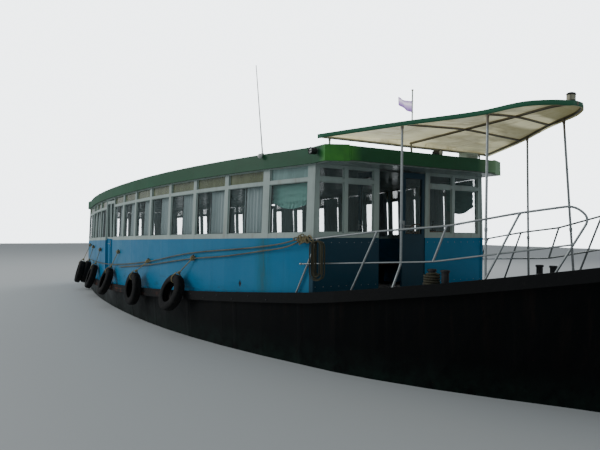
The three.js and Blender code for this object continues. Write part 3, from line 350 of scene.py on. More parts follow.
def dressed(name, mesh, finish, body=BODY, smooth=True, bevel=0.0, level=0):
    """An object with its finish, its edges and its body."""
    made = linked(name, mesh)
    mesh.materials.clear()
    mesh.materials.append(MATERIALS[finish])
    mesh.polygons.foreach_set("use_smooth", [smooth] * len(mesh.polygons))
    if smooth:
        mesh.set_sharp_from_angle(angle=SHARP_ANGLE)
    if bevel:
        rounded = made.modifiers.new("rounded edges", "BEVEL")
        rounded.width = bevel
        rounded.segments = 2
        rounded.limit_method = "ANGLE"
    if level:
        finer = made.modifiers.new("finer", "SUBSURF")
        finer.levels = level
        finer.render_levels = level
    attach(made, body)
    return made


def thickened(made, thickness, offset=0.0):
    """Gives a sheet its thickness, and returns the area of one side."""
    solid = made.modifiers.new("cloth thickness", "SOLIDIFY")
    solid.thickness = thickness
    solid.offset = offset
    return face_area(made)


def face_area(made):
    return sum(face.area for face in made.data.polygons)


# Geometry Nodes trees

def wire(tree, rows):
    """Links sockets: each row has a node, its output, the next node and its input."""
    for start, output, end, socket in rows:
        tree.links.new(start.outputs[output], end.inputs[socket])


def geometry_tree(name, sizes):
    """A tree with a geometry, some sizes and a material for inputs."""
    tree = bpy.data.node_groups.new(name, "GeometryNodeTree")
    tree.interface.new_socket("Geometry", in_out="INPUT", socket_type="NodeSocketGeometry")
    for label in sizes:
        tree.interface.new_socket(label, in_out="INPUT", socket_type="NodeSocketFloat")
    tree.interface.new_socket("Material", in_out="INPUT", socket_type="NodeSocketMaterial")
    tree.interface.new_socket("Geometry", in_out="OUTPUT", socket_type="NodeSocketGeometry")
    return tree, tree.nodes.new("NodeGroupInput")


def finish_tree(tree, start, last, output):
    """Ends a tree with plain geometry that has its material."""
    realized = tree.nodes.new("GeometryNodeRealizeInstances")
    finish = tree.nodes.new("GeometryNodeSetMaterial")
    end = tree.nodes.new("NodeGroupOutput")
    wire(tree, (
        (last, output, realized, "Geometry"),
        (realized, "Geometry", finish, "Geometry"),
        (start, "Material", finish, "Material"),
        (finish, "Geometry", end, "Geometry"),
    ))
    return tree


def strip_tree():
    """Sweeps a flat strip along every line of the mesh."""
    tree, start = geometry_tree("Strips along lines", ("Width", "Height"))
    curve = tree.nodes.new("GeometryNodeMeshToCurve")
    upright = tree.nodes.new("GeometryNodeSetCurveNormal")
    upright.mode = "Z_UP"
    section = tree.nodes.new("GeometryNodeCurvePrimitiveQuadrilateral")
    sweep = tree.nodes.new("GeometryNodeCurveToMesh")
    sweep.inputs["Fill Caps"].default_value = True
    wire(tree, (
        (start, "Geometry", curve, "Mesh"),
        (curve, "Curve", upright, "Curve"),
        (start, "Width", section, "Width"),
        (start, "Height", section, "Height"),
        (upright, "Curve", sweep, "Curve"),
        (section, "Curve", sweep, "Profile Curve"),
    ))
    return finish_tree(tree, start, sweep, "Mesh")


def stud_tree():
    """Puts a low round head on every point, turned to the point's outward attribute."""
    tree, start = geometry_tree("Heads on points", ("Radius", "Depth"))
    head = tree.nodes.new("GeometryNodeMeshCone")
    head.inputs["Vertices"].default_value = 10
    shrink = tree.nodes.new("ShaderNodeMath")
    shrink.operation = "MULTIPLY"
    shrink.inputs[1].default_value = 0.7
    outward = tree.nodes.new("GeometryNodeInputNamedAttribute")
    outward.data_type = "FLOAT_VECTOR"
    outward.inputs["Name"].default_value = "outward"
    turn = tree.nodes.new("FunctionNodeAlignRotationToVector")
    turn.axis = "Z"
    spread = tree.nodes.new("GeometryNodeInstanceOnPoints")
    wire(tree, (
        (start, "Radius", head, "Radius Bottom"),
        (start, "Radius", shrink, 0),
        (shrink, 0, head, "Radius Top"),
        (start, "Depth", head, "Depth"),
        (start, "Geometry", spread, "Points"),
        (head, "Mesh", spread, "Instance"),
        (outward, "Attribute", turn, "Vector"),
        (turn, "Rotation", spread, "Rotation"),
    ))
    return finish_tree(tree, start, spread, "Instances")


def grown(name, mesh, tree, values, finish):
    """Runs a tree on a mesh and keeps the result as a plain mesh."""
    holder = linked(name, mesh)
    modifier = holder.modifiers.new("grown", "NODES")
    modifier.node_group = tree
    sockets = {item.name: item.identifier for item in tree.interface.items_tree if item.in_out == "INPUT"}
    for label, value in {**values, "Material": MATERIALS[finish]}.items():
        modifier[sockets[label]] = value
    graph = bpy.context.evaluated_depsgraph_get()
    made = bpy.data.meshes.new_from_object(holder.evaluated_get(graph))
    holder.modifiers.clear()
    bpy.data.objects.remove(holder)
    return dressed(name, made, finish, smooth=False)


def line_mesh(name, lines):
    mesh = bpy.data.meshes.new(name)
    points = []
    edges = []
    for line in lines:
        edges += [(len(points) + i, len(points) + i + 1) for i in range(len(line) - 1)]
        points += [tuple(p) for p in line]
    mesh.from_pydata(points, edges, [])
    return mesh


def point_mesh(name, rows):
    """Points with the way that each one faces."""
    mesh = bpy.data.meshes.new(name)
    mesh.from_pydata([tuple(p) for p, _ in rows], [], [])
    attribute = mesh.attributes.new("outward", "FLOAT_VECTOR", "POINT")
    attribute.data.foreach_set("vector", [c for _, way in rows for c in way])
    return mesh


# Materials

class Finish:
    """A material, and short ways to add its nodes."""

    def __init__(self, name, colour, roughness=0.5, metallic=0.0, **sockets):
        self.material = bpy.data.materials.new(name)
        self.material.use_nodes = True
        self.tree = self.material.node_tree
        self.shader = self.tree.nodes["Principled BSDF"]
        self.base = (*colour, 1)
        self.height = None
        constants = {"Base Color": self.base, "Roughness": roughness, "Metallic": metallic}
        constants |= {label.replace("_", " "): value for label, value in sockets.items()}
        for label, value in constants.items():
            self.shader.inputs[label].default_value = value

    def node(self, kind, constants=None, links=None, **settings):
        """A node with its settings, its constant inputs and its linked inputs."""
        made = self.tree.nodes.new(kind)
        for label, value in settings.items():
            setattr(made, label, value)
        for label, value in (constants or {}).items():
            made.inputs[label].default_value = value
        for label, value in (links or {}).items():
            self.tree.links.new(value, made.inputs[label])
        return made

    def place(self, stretch=(1, 1, 1), coordinates="Object"):
        source = self.node("ShaderNodeTexCoord").outputs[coordinates]
        return self.node("ShaderNodeMapping", {"Scale": stretch}, {"Vector": source}).outputs["Vector"]

    def noise(self, scale, detail=4.0, roughness=0.6, stretch=(1, 1, 1)):
        constants = {"Scale": scale, "Detail": detail, "Roughness": roughness}
        return self.node("ShaderNodeTexNoise", constants, {"Vector": self.place(stretch)}).outputs["Fac"]

    def cells(self, scale):
        links = {"Vector": self.place()}
        return self.node("ShaderNodeTexVoronoi", {"Scale": scale}, links).outputs["Distance"]

    def waves(self, scale, direction="X", distortion=0.0, stretch=(1, 1, 1)):
        constants = {"Scale": scale, "Distortion": distortion}
        links = {"Vector": self.place(stretch)}
        return self.node("ShaderNodeTexWave", constants, links, bands_direction=direction).outputs["Fac"]

    def axis(self, label, coordinates="Object"):
        links = {"Vector": self.place(coordinates=coordinates)}
        return self.node("ShaderNodeSeparateXYZ", links=links).outputs[label]

    def range(self, value, low, high, out_low=0.0, out_high=1.0):
        constants = {"From Min": low, "From Max": high, "To Min": out_low, "To Max": out_high}
        return self.node("ShaderNodeMapRange", constants, {"Value": value}).outputs["Result"]

    def math(self, operation, *values):
        made = self.node("ShaderNodeMath", operation=operation)
        for socket, value in zip(made.inputs, values):
            if isinstance(value, (int, float)):
                socket.default_value = value
            else:
                self.tree.links.new(value, socket)
        return made.outputs[0]

    def times(self, a, b):
        return self.math("MULTIPLY", a, b)

    def stain(self, factor, colour):
        """Lays a colour over the base where factor is high."""
        made = self.node("ShaderNodeMix", {7: (*colour, 1)}, {0: factor}, data_type="RGBA")
        if isinstance(self.base, tuple):
            made.inputs[6].default_value = self.base
        else:
            self.tree.links.new(self.base, made.inputs[6])
        self.base = made.outputs[2]

    def patches(self, colour, amount, span, grain, stretch=(1, 1, 1), within=None):
        """Stains where a noise lies in a span; grain is its scale, detail and roughness."""
        factor = self.range(self.noise(*grain, stretch), *span, 0, amount)
        self.stain(factor if within is None else self.times(factor, within), colour)

    def relief(self, value, distance, strength):
        """Adds a height to the surface."""
        links = {"Height": value} if self.height is None else {"Height": value, "Normal": self.height}
        made = self.node("ShaderNodeBump", {"Strength": strength, "Distance": distance}, links)
        self.height = made.outputs["Normal"]

    def bumps(self, grain, distance, strength):
        self.relief(self.noise(*grain), distance, strength)

    def seams(self, scale, start, distance, strength):
        """Narrow lines across the length of the boat, where plates meet."""
        self.relief(self.range(self.waves(scale), start, 1.0), distance, strength)

    def weave(self, scale, directions, distance, strength):
        warp, weft = (self.waves(scale, direction) for direction in directions)
        self.relief(self.times(warp, weft), distance, strength)

    def weathered(self, dirt, streaks, chips):
        """Cloudy tone, rain streaks, fine orange peel and chipped spots on a painted surface."""
        cloud = self.noise(1.3, 6, 0.65)
        self.stain(self.range(cloud, 0.45, 0.75, 0, dirt), GRIME)
        self.patches(GRIME, streaks, (0.55, 0.8), (9, 5, 0.6), (1, 1, 0.06))
        self.bumps((2.2, 3, 0.5), 0.012, 0.35)
        self.bumps((160, 2, 0.5), 0.0006, 0.5)
        bare = self.range(self.noise(26, 8, 0.72), 0.70 - chips, 0.73 - chips)
        self.stain(bare, RUST)
        self.relief(self.math("SUBTRACT", 1.0, bare), 0.0012, 0.6)
        return cloud

    def done(self, cloud=None, shine=None, alpha=None, painted_glow=False):
        """Links what was gathered; shine is the range of roughness over the cloud; painted_glow makes the
        base colour glow as painted light.
        """
        found = {"Normal": self.height, "Alpha": alpha}
        if not isinstance(self.base, tuple):
            found["Base Color"] = self.base
        if shine:
            found["Roughness"] = self.range(cloud, 0.3, 0.8, *shine)
        if painted_glow:
            found["Emission Color"] = self.base
        for label, value in found.items():
            if value is not None:
                self.tree.links.new(value, self.shader.inputs[label])
        return self.material


def shade(red, green, blue):
    """A paint colour given in screen values from 0 to 255."""
    values = [c / 255 for c in (red, green, blue)]
    return tuple(c / 12.92 if c <= 0.04045 else ((c + 0.055) / 1.055) ** 2.4 for c in values)


RUST = shade(92, 52, 30)
GRIME = shade(52, 50, 44)


def hull_finish(colour):
    finish = Finish("hull black paint", colour, 0.5, Specular_IOR_Level=0.08)
    height = finish.axis("Z")
    cloud = finish.weathered(0.03, 0.05, 0.015)
    high = finish.range(height, 0.35, 1.0)
    finish.patches(shade(38, 27, 23), 0.45, (0.5, 0.72), (7, 6, 0.7), (1, 1, 0.05), high)
    # Grey-green near the waterline: partly algae scum, partly a painted reflection of the water.
    low = finish.range(height, 0.42, 0.02)
    finish.patches(shade(26, 44, 38), 0.7, (0.35, 0.7), (5, 7, 0.7), within=low)
    finish.patches(shade(60, 68, 68), 0.07, (0.6, 0.85), (3, 8, 0.75), (1, 1, 0.35))
    finish.seams(0.21, 0.985, 0.006, 0.6)
    finish.bumps((0.9, 2, 0.5), 0.05, 0.35)
    return finish.done(cloud, (0.32, 0.62))


def rail_rubber_finish():
    finish = Finish("rub rail", shade(14, 15, 16), 0.7, Specular_IOR_Level=0.2)
    aft = finish.range(finish.axis("X"), 2.2, -1.0)
    finish.patches(shade(88, 52, 40), 1, (0.5, 0.62), (4, 8, 0.7), (0.5, 1, 2), aft)
    finish.patches(shade(42, 40, 38), 0.5, (0.6, 0.8), (11, 6, 0.7))
    finish.bumps((14, 6, 0.7), 0.008, 0.6)
    finish.bumps((140, 3, 0.6), 0.001, 0.6)
    return finish.done()


def blue_finish(colour, front):
    """Topside paint: navy paint and painted shade on the starboard front wall, a green streak, a hole with
    painted shade.
    """
    finish = Finish("blue topside paint with painted shade", colour, 0.45, Specular_IOR_Level=0.25)
    cloud = finish.weathered(0.10, 0.16, 0.015)
    finish.patches(shade(70, 136, 166), 0.3, (0.35, 0.7), (0.7, 4, 0.6))
    along, across, height = (finish.axis(label) for label in "XYZ")
    # The starboard front wall takes the front colour: partly navy paint, partly painted shade under the
    # canopy. The sunlit port panel keeps the topside blue.
    shaded = finish.range(across, 0.44, 0.43)
    finish.stain(finish.times(finish.range(along, 5.355, 5.358), shaded), front)
    side = finish.range(across, -1.7, -1.85)
    near = finish.math("ABSOLUTE", finish.math("SUBTRACT", along, 4.40))
    streak = finish.times(finish.range(near, 0.24, 0.0), side)
    finish.patches(shade(44, 88, 66), 0.6, (0.3, 0.6), (8, 5, 0.7), (1, 1, 0.12), streak)
    # A small hole in the wall by the corner: a dent in the bump, with its dark inside as painted shade.
    off_along = finish.math("ABSOLUTE", finish.math("SUBTRACT", along, 3.81))
    off_rise = finish.math("ABSOLUTE", finish.math("SUBTRACT", height, 1.10))
    hole_with_painted_shade = finish.range(finish.math("ADD", off_along, finish.times(off_rise, 0.55)), 0.040, 0.030)
    finish.stain(finish.times(hole_with_painted_shade, side), shade(22, 30, 34))
    finish.relief(finish.math("SUBTRACT", 1.0, hole_with_painted_shade), 0.006, 0.7)
    low = finish.range(height, 1.15, 0.85)
    finish.patches(shade(38, 52, 60), 0.7, (0.53, 0.66), (9, 7, 0.75), (0.4, 1, 2), low)
    finish.seams(0.16, 0.99, 0.003, 0.5)
    finish.bumps((1.6, 2, 0.5), 0.03, 0.4)
    return finish.done(cloud, (0.3, 0.5))


def boarding_finish(colour, upper):
    """Topside colour below the sill line and the frames' colour above it."""
    finish = Finish("boarding door paint", colour, 0.45, Specular_IOR_Level=0.25)
    finish.stain(finish.range(finish.axis("Z"), 1.690, 1.694), upper)
    finish.weathered(0.15, 0.25, 0.015)
    return finish.done()


def gloss_finish(name, colour, stains=0.5, shine=(0.38, 0.6), mirror=0.3):
    finish = Finish(name, colour, 0.45, Specular_IOR_Level=mirror)
    cloud = finish.weathered(0.22, 0.30, 0.02)
    finish.patches(shade(122, 98, 70), stains, (0.56, 0.75), (6, 6, 0.7), (1, 1, 0.1))
    return finish.done(cloud, shine)


def green_finish(colour, corner):
    """Roof edge paint, with painted sunlight at both front corners: brighter green at the starboard one,
    paler at the port one.
    """
    finish = Finish("green roof edge paint with painted sunlight", colour, 0.5, Specular_IOR_Level=0.25)
    ahead = finish.range(finish.axis("X"), 5.60, 5.76)
    across = finish.axis("Y")
    # Painted sunlight: the starboard front corner takes the brighter corner green.
    sunlit = finish.times(ahead, finish.range(across, -1.36, -1.60))
    uneven = finish.range(finish.noise(5, 5, 0.7), 0.3, 0.6, 0.6, 0.95)
    finish.stain(finish.times(sunlit, uneven), corner)
    # Painted sunlight: the port front corner is paled.
    finish.stain(finish.times(ahead, finish.range(across, 1.10, 1.60, 0, 0.85)), shade(150, 192, 146))
    finish.weathered(0.10, 0.22, 0.02)
    finish.patches(shade(40, 108, 78), 0.35, (0.4, 0.75), (1.1, 5, 0.6), (1, 1, 3))
    finish.seams(0.13, 0.99, 0.003, 0.6)
    return finish.done()


def roof_finish():
    finish = Finish("roof and soffit paint", shade(168, 174, 172), 0.5)
    finish.weathered(0.35, 0.1, 0.02)
    finish.patches(shade(112, 112, 100), 0.5, (0.5, 0.68), (1.8, 7, 0.7))
    return finish.done()


def steel_finish():
    """Spangled zinc with rust, and brown on the tubes close under the canopy: partly rust, partly painted
    shade.
    """
    finish = Finish("galvanised tube with rust and painted shade", shade(172, 178, 178), 0.42, 0.65)
    finish.stain(finish.range(finish.cells(60), 0.1, 0.6, 0, 0.3), shade(112, 120, 122))
    finish.patches(RUST, 0.7, (0.63, 0.72), (14, 7, 0.7))
    # Brown on the tubes close under the canopy: partly rust stain, partly painted shade where the canvas
    # backlights them.
    sheltered = finish.range(finish.axis("Z"), 3.30, 3.42, 0, 0.85)
    patchy = finish.range(finish.noise(4, 6, 0.7), 0.25, 0.6, 0.6, 1)
    finish.stain(finish.times(sheltered, patchy), shade(104, 88, 60))
    finish.bumps((90, 4, 0.6), 0.0006, 0.5)
    return finish.done(finish.noise(10), (0.32, 0.6))


def glass_finish(name, colour, alpha):
    finish = Finish(name, colour, 0.06, Alpha=alpha, Coat_Weight=0.4, Coat_Roughness=0.05)
    smear = finish.range(finish.noise(3, 6, 0.7, (1, 1, 0.3)), 0.45, 0.8, alpha * 0.75, alpha * 1.5)
    finish.bumps((1.5, 2, 0.5), 0.004, 0.12)
    return finish.done(alpha=smear)


def cloth_finish(name, colour, other):
    finish = Finish(name, colour, 0.85, Sheen_Weight=0.3, Sheen_Roughness=0.5)
    finish.patches(other, 0.2, (0.4, 0.75), (2.5, 6, 0.65))
    finish.weave(144, "XZ", 0.0004, 0.35)
    finish.bumps((40, 3, 0.6), 0.0015, 0.4)
    return finish.done()


def canopy_finish(colour):
    """Canvas that glows with painted backlight from the sky: water stains, painted sunlit patches, creases
    darkened with painted shade, and olive to the front.
    """
    # The emission is painted backlight: the canvas glows, though it is no lamp.
    finish = Finish("canopy canvas with painted backlight", colour, 0.78, Sheen_Weight=0.2, Emission_Strength=0.64)
    finish.patches(shade(164, 152, 92), 0.65, (0.46, 0.72), (1.6, 8, 0.72))
    finish.patches(shade(118, 100, 66), 0.4, (0.56, 0.64), (4.5, 8, 0.8))
    port = finish.range(finish.math("ADD", finish.axis("X"), finish.axis("Y")), 4.8, 8.4, 0, 0.86)
    finish.stain(port, shade(96, 94, 50))
    # Painted sunlit patches, which also glow.
    finish.patches(shade(244, 240, 198), 0.55, (0.50, 0.62), (1.5, 3, 0.5), (1, 0.6, 1))
    # Creases darkened with painted shade, running in two directions.
    for stretch in ((0.22, 1.5, 1), (1.3, 0.3, 1)):
        finish.patches(shade(124, 112, 74), 0.4, (0.56, 0.66), (5, 5, 0.6), stretch)
    finish.weave(130, "XY", 0.0005, 0.4)
    finish.bumps((6, 4, 0.6), 0.012, 0.4)
    return finish.done(painted_glow=True)


def rubber_finish():
    finish = Finish("worn tyre rubber", shade(18, 19, 20), 0.85, Specular_IOR_Level=0.25)
    finish.patches(shade(50, 48, 44), 0.55, (0.48, 0.7), (7, 7, 0.7))
    finish.bumps((34, 5, 0.7), 0.003, 0.5)
    finish.relief(finish.cells(190), 0.0008, 0.4)
    return finish.done()


def rope_finish(name, colour):
    finish = Finish(name, colour, 0.95)
    finish.patches(shade(66, 62, 52), 0.7, (0.4, 0.7), (3.2, 6, 0.7))
    fibre = finish.waves(320, "DIAGONAL", 3.0)
    finish.stain(finish.range(fibre, 0.3, 0.9, 0, 0.3), shade(52, 46, 36))
    finish.relief(fibre, 0.0008, 0.7)
    finish.bumps((240, 3, 0.7), 0.0008, 0.6)
    return finish.done()


def wood_finish():
    finish = Finish("varnished teak", shade(128, 86, 50), 0.4, Coat_Weight=0.3, Coat_Roughness=0.25)
    grain = finish.waves(14, "Y", 7.0, (0.16, 1, 1))
    finish.stain(finish.range(grain, 0.2, 0.9, 0, 0.6), shade(74, 46, 26))
    finish.patches(shade(60, 44, 32), 0.5, (0.5, 0.75), (3, 6, 0.7))
    finish.relief(grain, 0.0008, 0.5)
    return finish.done()


def metal_finish(name, colour, roughness, metallic, wear=0.5):
    finish = Finish(name, colour, roughness, metallic)
    finish.patches(RUST, wear, (0.55, 0.68), (11, 8, 0.72))
    finish.patches(GRIME, 0.4, (0.45, 0.8), (3, 5, 0.6))
    finish.bumps((60, 5, 0.7), 0.0018, 0.5)
    return finish.done(finish.noise(8), (roughness * 0.75, roughness * 1.3))


def flag_finish():
    """Thin pale cloth, darker in its lower half and at its ragged edges, glowing with painted backlight."""
    # The emission is painted backlight from the sky behind the flag.
    finish = Finish("flag cloth with painted backlight", shade(236, 226, 250), 0.8, Sheen_Weight=0.3, Emission_Strength=0.8)
    fall = finish.axis("Y", "UV")
    edges = finish.range(finish.math("ABSOLUTE", finish.math("SUBTRACT", fall, 0.42)), 0.12, 0.42)
    finish.stain(finish.range(fall, 0.36, 0.50, 0, 0.7), shade(176, 146, 212))
    finish.patches(shade(136, 100, 180), 1, (0.2, 0.5), (14, 5, 0.7), (1, 1, 0.5), edges)
    finish.weave(160, "YZ", 0.0004, 0.4)
    return finish.done(painted_glow=True)


def make_materials(paint):
    MATERIALS.update({
        "hull": hull_finish(tuple(paint.hull)),
        "rub rail": rail_rubber_finish(),
        "blue": blue_finish(tuple(paint.topside), tuple(paint.front)),
        "white": gloss_finish("white window paint", tuple(paint.frames)),
        "white trim": gloss_finish("white fittings paint", shade(214, 218, 214), 0.3),
        "ceiling": gloss_finish("ceiling plank paint", shade(160, 174, 168), 0.2, (0.12, 0.3), 0.6),
        "boarding door": boarding_finish(tuple(paint.topside), tuple(paint.frames)),
        # The front colour on the door leaves is partly navy paint, partly painted shade under the canopy.
        "front door": gloss_finish("navy door paint with painted shade", tuple(paint.front), 0.1),
        # The corner green is painted sunlight on the starboard front corner.
        "green": green_finish(tuple(paint.roof_edge), shade(72, 150, 58)),
        "roof": roof_finish(),
        "steel": steel_finish(),
        "glass": glass_finish("window glass", shade(128, 150, 148), 0.13),
        "fanlight": glass_finish("olive fanlight pane", shade(120, 128, 98), 0.9),
        "teal pane": glass_finish("teal fanlight pane", shade(150, 182, 178), 0.7),
        "grey curtain": cloth_finish("grey curtain cloth", shade(174, 190, 190), shade(140, 152, 152)),
        "teal curtain": cloth_finish("teal curtain cloth", shade(112, 172, 160), shade(70, 130, 128)),
        "canvas": canopy_finish(tuple(paint.canvas)),
        "canvas edge": cloth_finish("green canvas edge", shade(44, 108, 78), shade(30, 80, 58)),
        "rubber": rubber_finish(),
        "rope": rope_finish("laid fibre rope", shade(134, 134, 116)),
        # A darker copy of the rope: painted shade on the hank and the bitt turns.
        "rope darkened by painted shade": rope_finish("fibre rope with painted shade", shade(84, 84, 66)),
        "lanyard": rope_finish("fender lanyard", shade(166, 154, 112)),
        "wood": wood_finish(),
        "dark metal": metal_finish("dark cast metal", shade(44, 46, 48), 0.55, 0.4),
        "engine": metal_finish("engine enamel", shade(70, 98, 86), 0.45, 0.1),
        "bronze": metal_finish("dull bronze", shade(150, 116, 62), 0.4, 0.85, 0.15),
        "flag": flag_finish(),
        "lens": glass_finish("lamp lens", shade(220, 224, 218), 0.85),
        "lamp body": gloss_finish("lamp body paint", shade(168, 166, 146), 0.4),
        "gasket": metal_finish("window gasket", shade(38, 40, 42), 0.75, 0.0, 0.1),
    })


# Finish of each solid part, by the beginning of its node's name; the longest that fits counts
NODE_FINISHES = {
    "hull": ("hull", "keel", "rudder"),
    "rub rail": ("rub_rail",),
    "blue": ("wall_", "front_panel_"),
    "front door": ("door_front_",),
    "boarding door": ("door_starboard_", "door_port_"),
    "white": (
        "window_frame_", "front_frame_", "engine_casing", "antenna", "flagstaff", "roof_vent",
        "canopy_lamp"),
    "green": ("fascia_side", "fascia_front"),
    "roof": ("roof",),
    "glass": ("glass_", "front_glass_"),
    "engine": ("engine",),
    "bronze": ("propeller_and_shaft",),
    "dark metal": ("bitt_", "searchlight", "fascia_lamp"),
    "wood": ("helm_stand", "steering_wheel", "bench_"),
    "steel": ("canopy_frame", "rail_"),
    "rubber": ("tyre_",),
    "canvas": ("canopy_sheet",),
    "flag": ("flag",),
    "rope": ("rope_",),
}


def finish_nodes():
    finishes = {start: finish for finish, starts in NODE_FINISHES.items() for start in starts}
    for name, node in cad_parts.items():
        longest = max((start for start in finishes if name.startswith(start)), key=len)
        node.data.materials.clear()
        node.data.materials.append(MATERIALS[finishes[longest]])


# Ropes

ROPE_UPPER = [
    (0.000, 0.036, 1.902), (0.120, 0.052, 1.894), (0.240, 0.066, 1.866), (0.600, 0.045, 1.790),
    (1.250, 0.032, 1.710), (3.100, 0.032, 1.550),
    (5.100, 0.032, 1.290), (7.600, 0.032, 1.085), (8.900, 0.032, 1.025), (11.000, 0.032, 0.970),
    (13.100, 0.032, 0.930),
]
ROPE_LOWER = [
    (0.215, 0.100, 1.820), (0.500, 0.060, 1.740), (1.050, 0.034, 1.660), (1.950, 0.032, 1.545),
    (3.050, 0.032, 1.450), (5.100, 0.032, 1.220), (7.300, 0.032, 1.040),
]
HANK_PLACE = Vector((CABIN_FRONT + 0.20, -1.880, 0))
HANK_TURN = math.radians(19)
HANK_LOW = 1.30
HANK_HIGH = 1.85
HANK_LAYERS = 5
HANK_STEPS = 40


def wall_rope(name, rows, diameter):
    route = smooth_line([wall_point(*row) for row in rows], 0.011)
    return piece(name, laid_rope(route, diameter / 2), "rope"), route


def hank_route(diameter):
    """Turns of rope of uneven width and fall, two to a layer, that hang from the rail's end."""
    rand = random.Random(SEED)
    turns = []
    for layer in range(HANK_LAYERS):
        depth = -0.04 + (layer - HANK_LAYERS / 2) * diameter * 1.15
        pair = [(depth, rand.uniform(0.044, 0.058), rand.uniform(0.03, 0.07)),
                (depth, rand.uniform(0.096, 0.132), rand.uniform(-0.02, 0.02))]
        turns += pair if layer % 2 else pair[::-1]
    rows = []
    for turn_now, turn_next in zip(turns, turns[1:] + turns[-1:]):
        for k in range(HANK_STEPS):
            share = max(0, (k / HANK_STEPS - 0.6) / 0.4)
            depth, half, raised = (a + (b - a) * share for a, b in zip(turn_now, turn_next))
            angle = math.pi / 2 + 2 * math.pi * k / HANK_STEPS
            middle = HANK_HIGH - half if math.sin(angle) >= 0 else HANK_LOW + raised + half
            rows.append((half * math.cos(angle), depth, middle + half * math.sin(angle)))
    turn = Matrix.Rotation(HANK_TURN, 3, "Z")
    return [turn @ Vector(row) + HANK_PLACE for row in rows]


def make_ropes(sizes):
    thick = sizes.rope
    upper, upper_route = wall_rope("wall_rope_upper", ROPE_UPPER, thick)
    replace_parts(upper, "rope_upper")
    lower, lower_route = wall_rope("wall_rope_lower", ROPE_LOWER, thick)
    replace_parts(lower, "rope_lower")
    lashing = make_lashing()
    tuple(upper_route[-1])
    line_lengths(upper_route)[-1]
    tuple(lower_route[-1])
    line_lengths(lower_route)[-1]
    coil = spaced_line(hank_route(sizes.hank_rope), 0.012)
    # The hank uses the rope darkened with painted shade.
    hank = piece("hanked_rope", laid_rope(coil, sizes.hank_rope / 2, 0.07), "rope darkened by painted shade")
    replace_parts(hank, "rope_hank")
    line_lengths(coil)[-1]


# Camera, lights and floor

CAMERA_PLACE = Vector((12.739, -6.861, 2.036))
CAMERA_HEADING = 0.5781
CAMERA_ROLL = 0.0112
CAMERA_LENS = 36.12
CAMERA_SHIFT = 0.0048
LIGHT_SIZE = 14
FLOOR_REACH = 60.0


def make_camera():
    data = bpy.data.cameras.new("photo view")
    data.sensor_width = 36
    data.lens = CAMERA_LENS
    data.shift_y = CAMERA_SHIFT
    camera = linked("photo view", data)
    forward = Vector((-math.cos(CAMERA_HEADING), math.sin(CAMERA_HEADING), 0))
    level = Vector((math.sin(CAMERA_HEADING), math.cos(CAMERA_HEADING), 0))
    right = level * math.cos(CAMERA_ROLL) + upward(math.sin(CAMERA_ROLL))
    turn = Matrix((right, right.cross(forward), -forward)).transposed()
    camera.matrix_world = Matrix.Translation(CAMERA_PLACE) @ turn.to_4x4()
    bpy.context.scene.camera = camera


def soft_light(name, place, target, power):
    data = bpy.data.lights.new(name, "AREA")
    data.shape = "DISK"
    data.size = LIGHT_SIZE
    data.energy = power
    lamp = linked(name, data)
    lamp.location = place
    lamp.rotation_euler = (Vector(target) - Vector(place)).to_track_quat("-Z", "Y").to_euler()


def make_sky(stage):
    """A soft sky that lights the boat, and another tone of it for the camera."""
    world = bpy.data.worlds.new("pale sky")
    bpy.context.scene.world = world
    world.use_nodes = True
    nodes = world.node_tree.nodes
    soft = nodes["Background"]
    seen = nodes.new("ShaderNodeBackground")
    for node, colour, strength in ((soft, stage.sky, stage.sky_strength), (seen, stage.backdrop, 1.0)):
        node.inputs["Color"].default_value = (*colour, 1)
        node.inputs["Strength"].default_value = strength
    choose = nodes.new("ShaderNodeMixShader")
    wire(world.node_tree, (
        (nodes.new("ShaderNodeLightPath"), "Is Camera Ray", choose, "Fac"),
        (soft, "Background", choose, 1),
        (seen, "Background", choose, 2),
        (choose, "Shader", nodes["World Output"], "Surface"),
    ))


def make_stage(stage):
    make_camera()
    make_sky(stage)
    soft_light("side light", (-16, -26, 15), (0, -1, 1.5), stage.key_power)
    soft_light("rear light", (-18, 18, 16), (0, 0, 2), stage.key_power * 0.5)
    mesh = bpy.data.meshes.new("floor")
    corners = [(x * FLOOR_REACH, y * FLOOR_REACH, 0) for x, y in ((-1, -1), (1, -1), (1, 1), (-1, 1))]
    mesh.from_pydata(corners, [], [(0, 1, 2, 3)])
    finish = Finish("pale floor", tuple(stage.floor), 0.7)
    finish.bumps((0.8, 3, 0.6), 0.01, 0.05)
    mesh.materials.append(finish.done())
    linked("floor", mesh)


# Tubes: canopy frame and foredeck rails

CANOPY_EDGE = [
    {"ahead": 0.08, "half": 1.85, "height": 3.40, "crown": 0.060},
    {"ahead": 1.22, "half": 1.275, "height": 3.483, "crown": 0.055},
    {"ahead": 2.10, "half": 0.74, "height": 3.552, "crown": 0.045},
    {"ahead": 2.62, "half": 0.54, "height": 3.610, "crown": 0.032},
    {"ahead": 2.88, "half": 0.28, "height": 3.618, "crown": 0.018},
    {"ahead": 2.96, "half": 0.13, "height": 3.612, "crown": 0.012},
]
TUBE_RADIUS = 0.020
TUBE_DROP = 0.024
TUBE_INSET = 0.025
TUBE_OVERRUN = 0.03
POST_RADIUS = 0.017
STUB_RADIUS = 0.015
RAIL_RADIUS = 0.014
LOWER_RAIL_RADIUS = 0.011
POSTS = [
    {"side": -1, "foot": (1.175, 1.362), "knee": [(1.226, 1.256, 1.560)], "top": 1.220},
    {"side": -1, "foot": (2.380, 0.930), "knee": [], "top": 2.180},
    {"side": 1, "foot": (1.460, 1.180), "knee": [], "top": 1.460},
    {"side": 1, "foot": (2.450, 0.800), "knee": [], "top": 2.400},
]
CANOPY_STUBS = (-1.64, 0.0, 1.64)
STUB_FOOT = 3.04
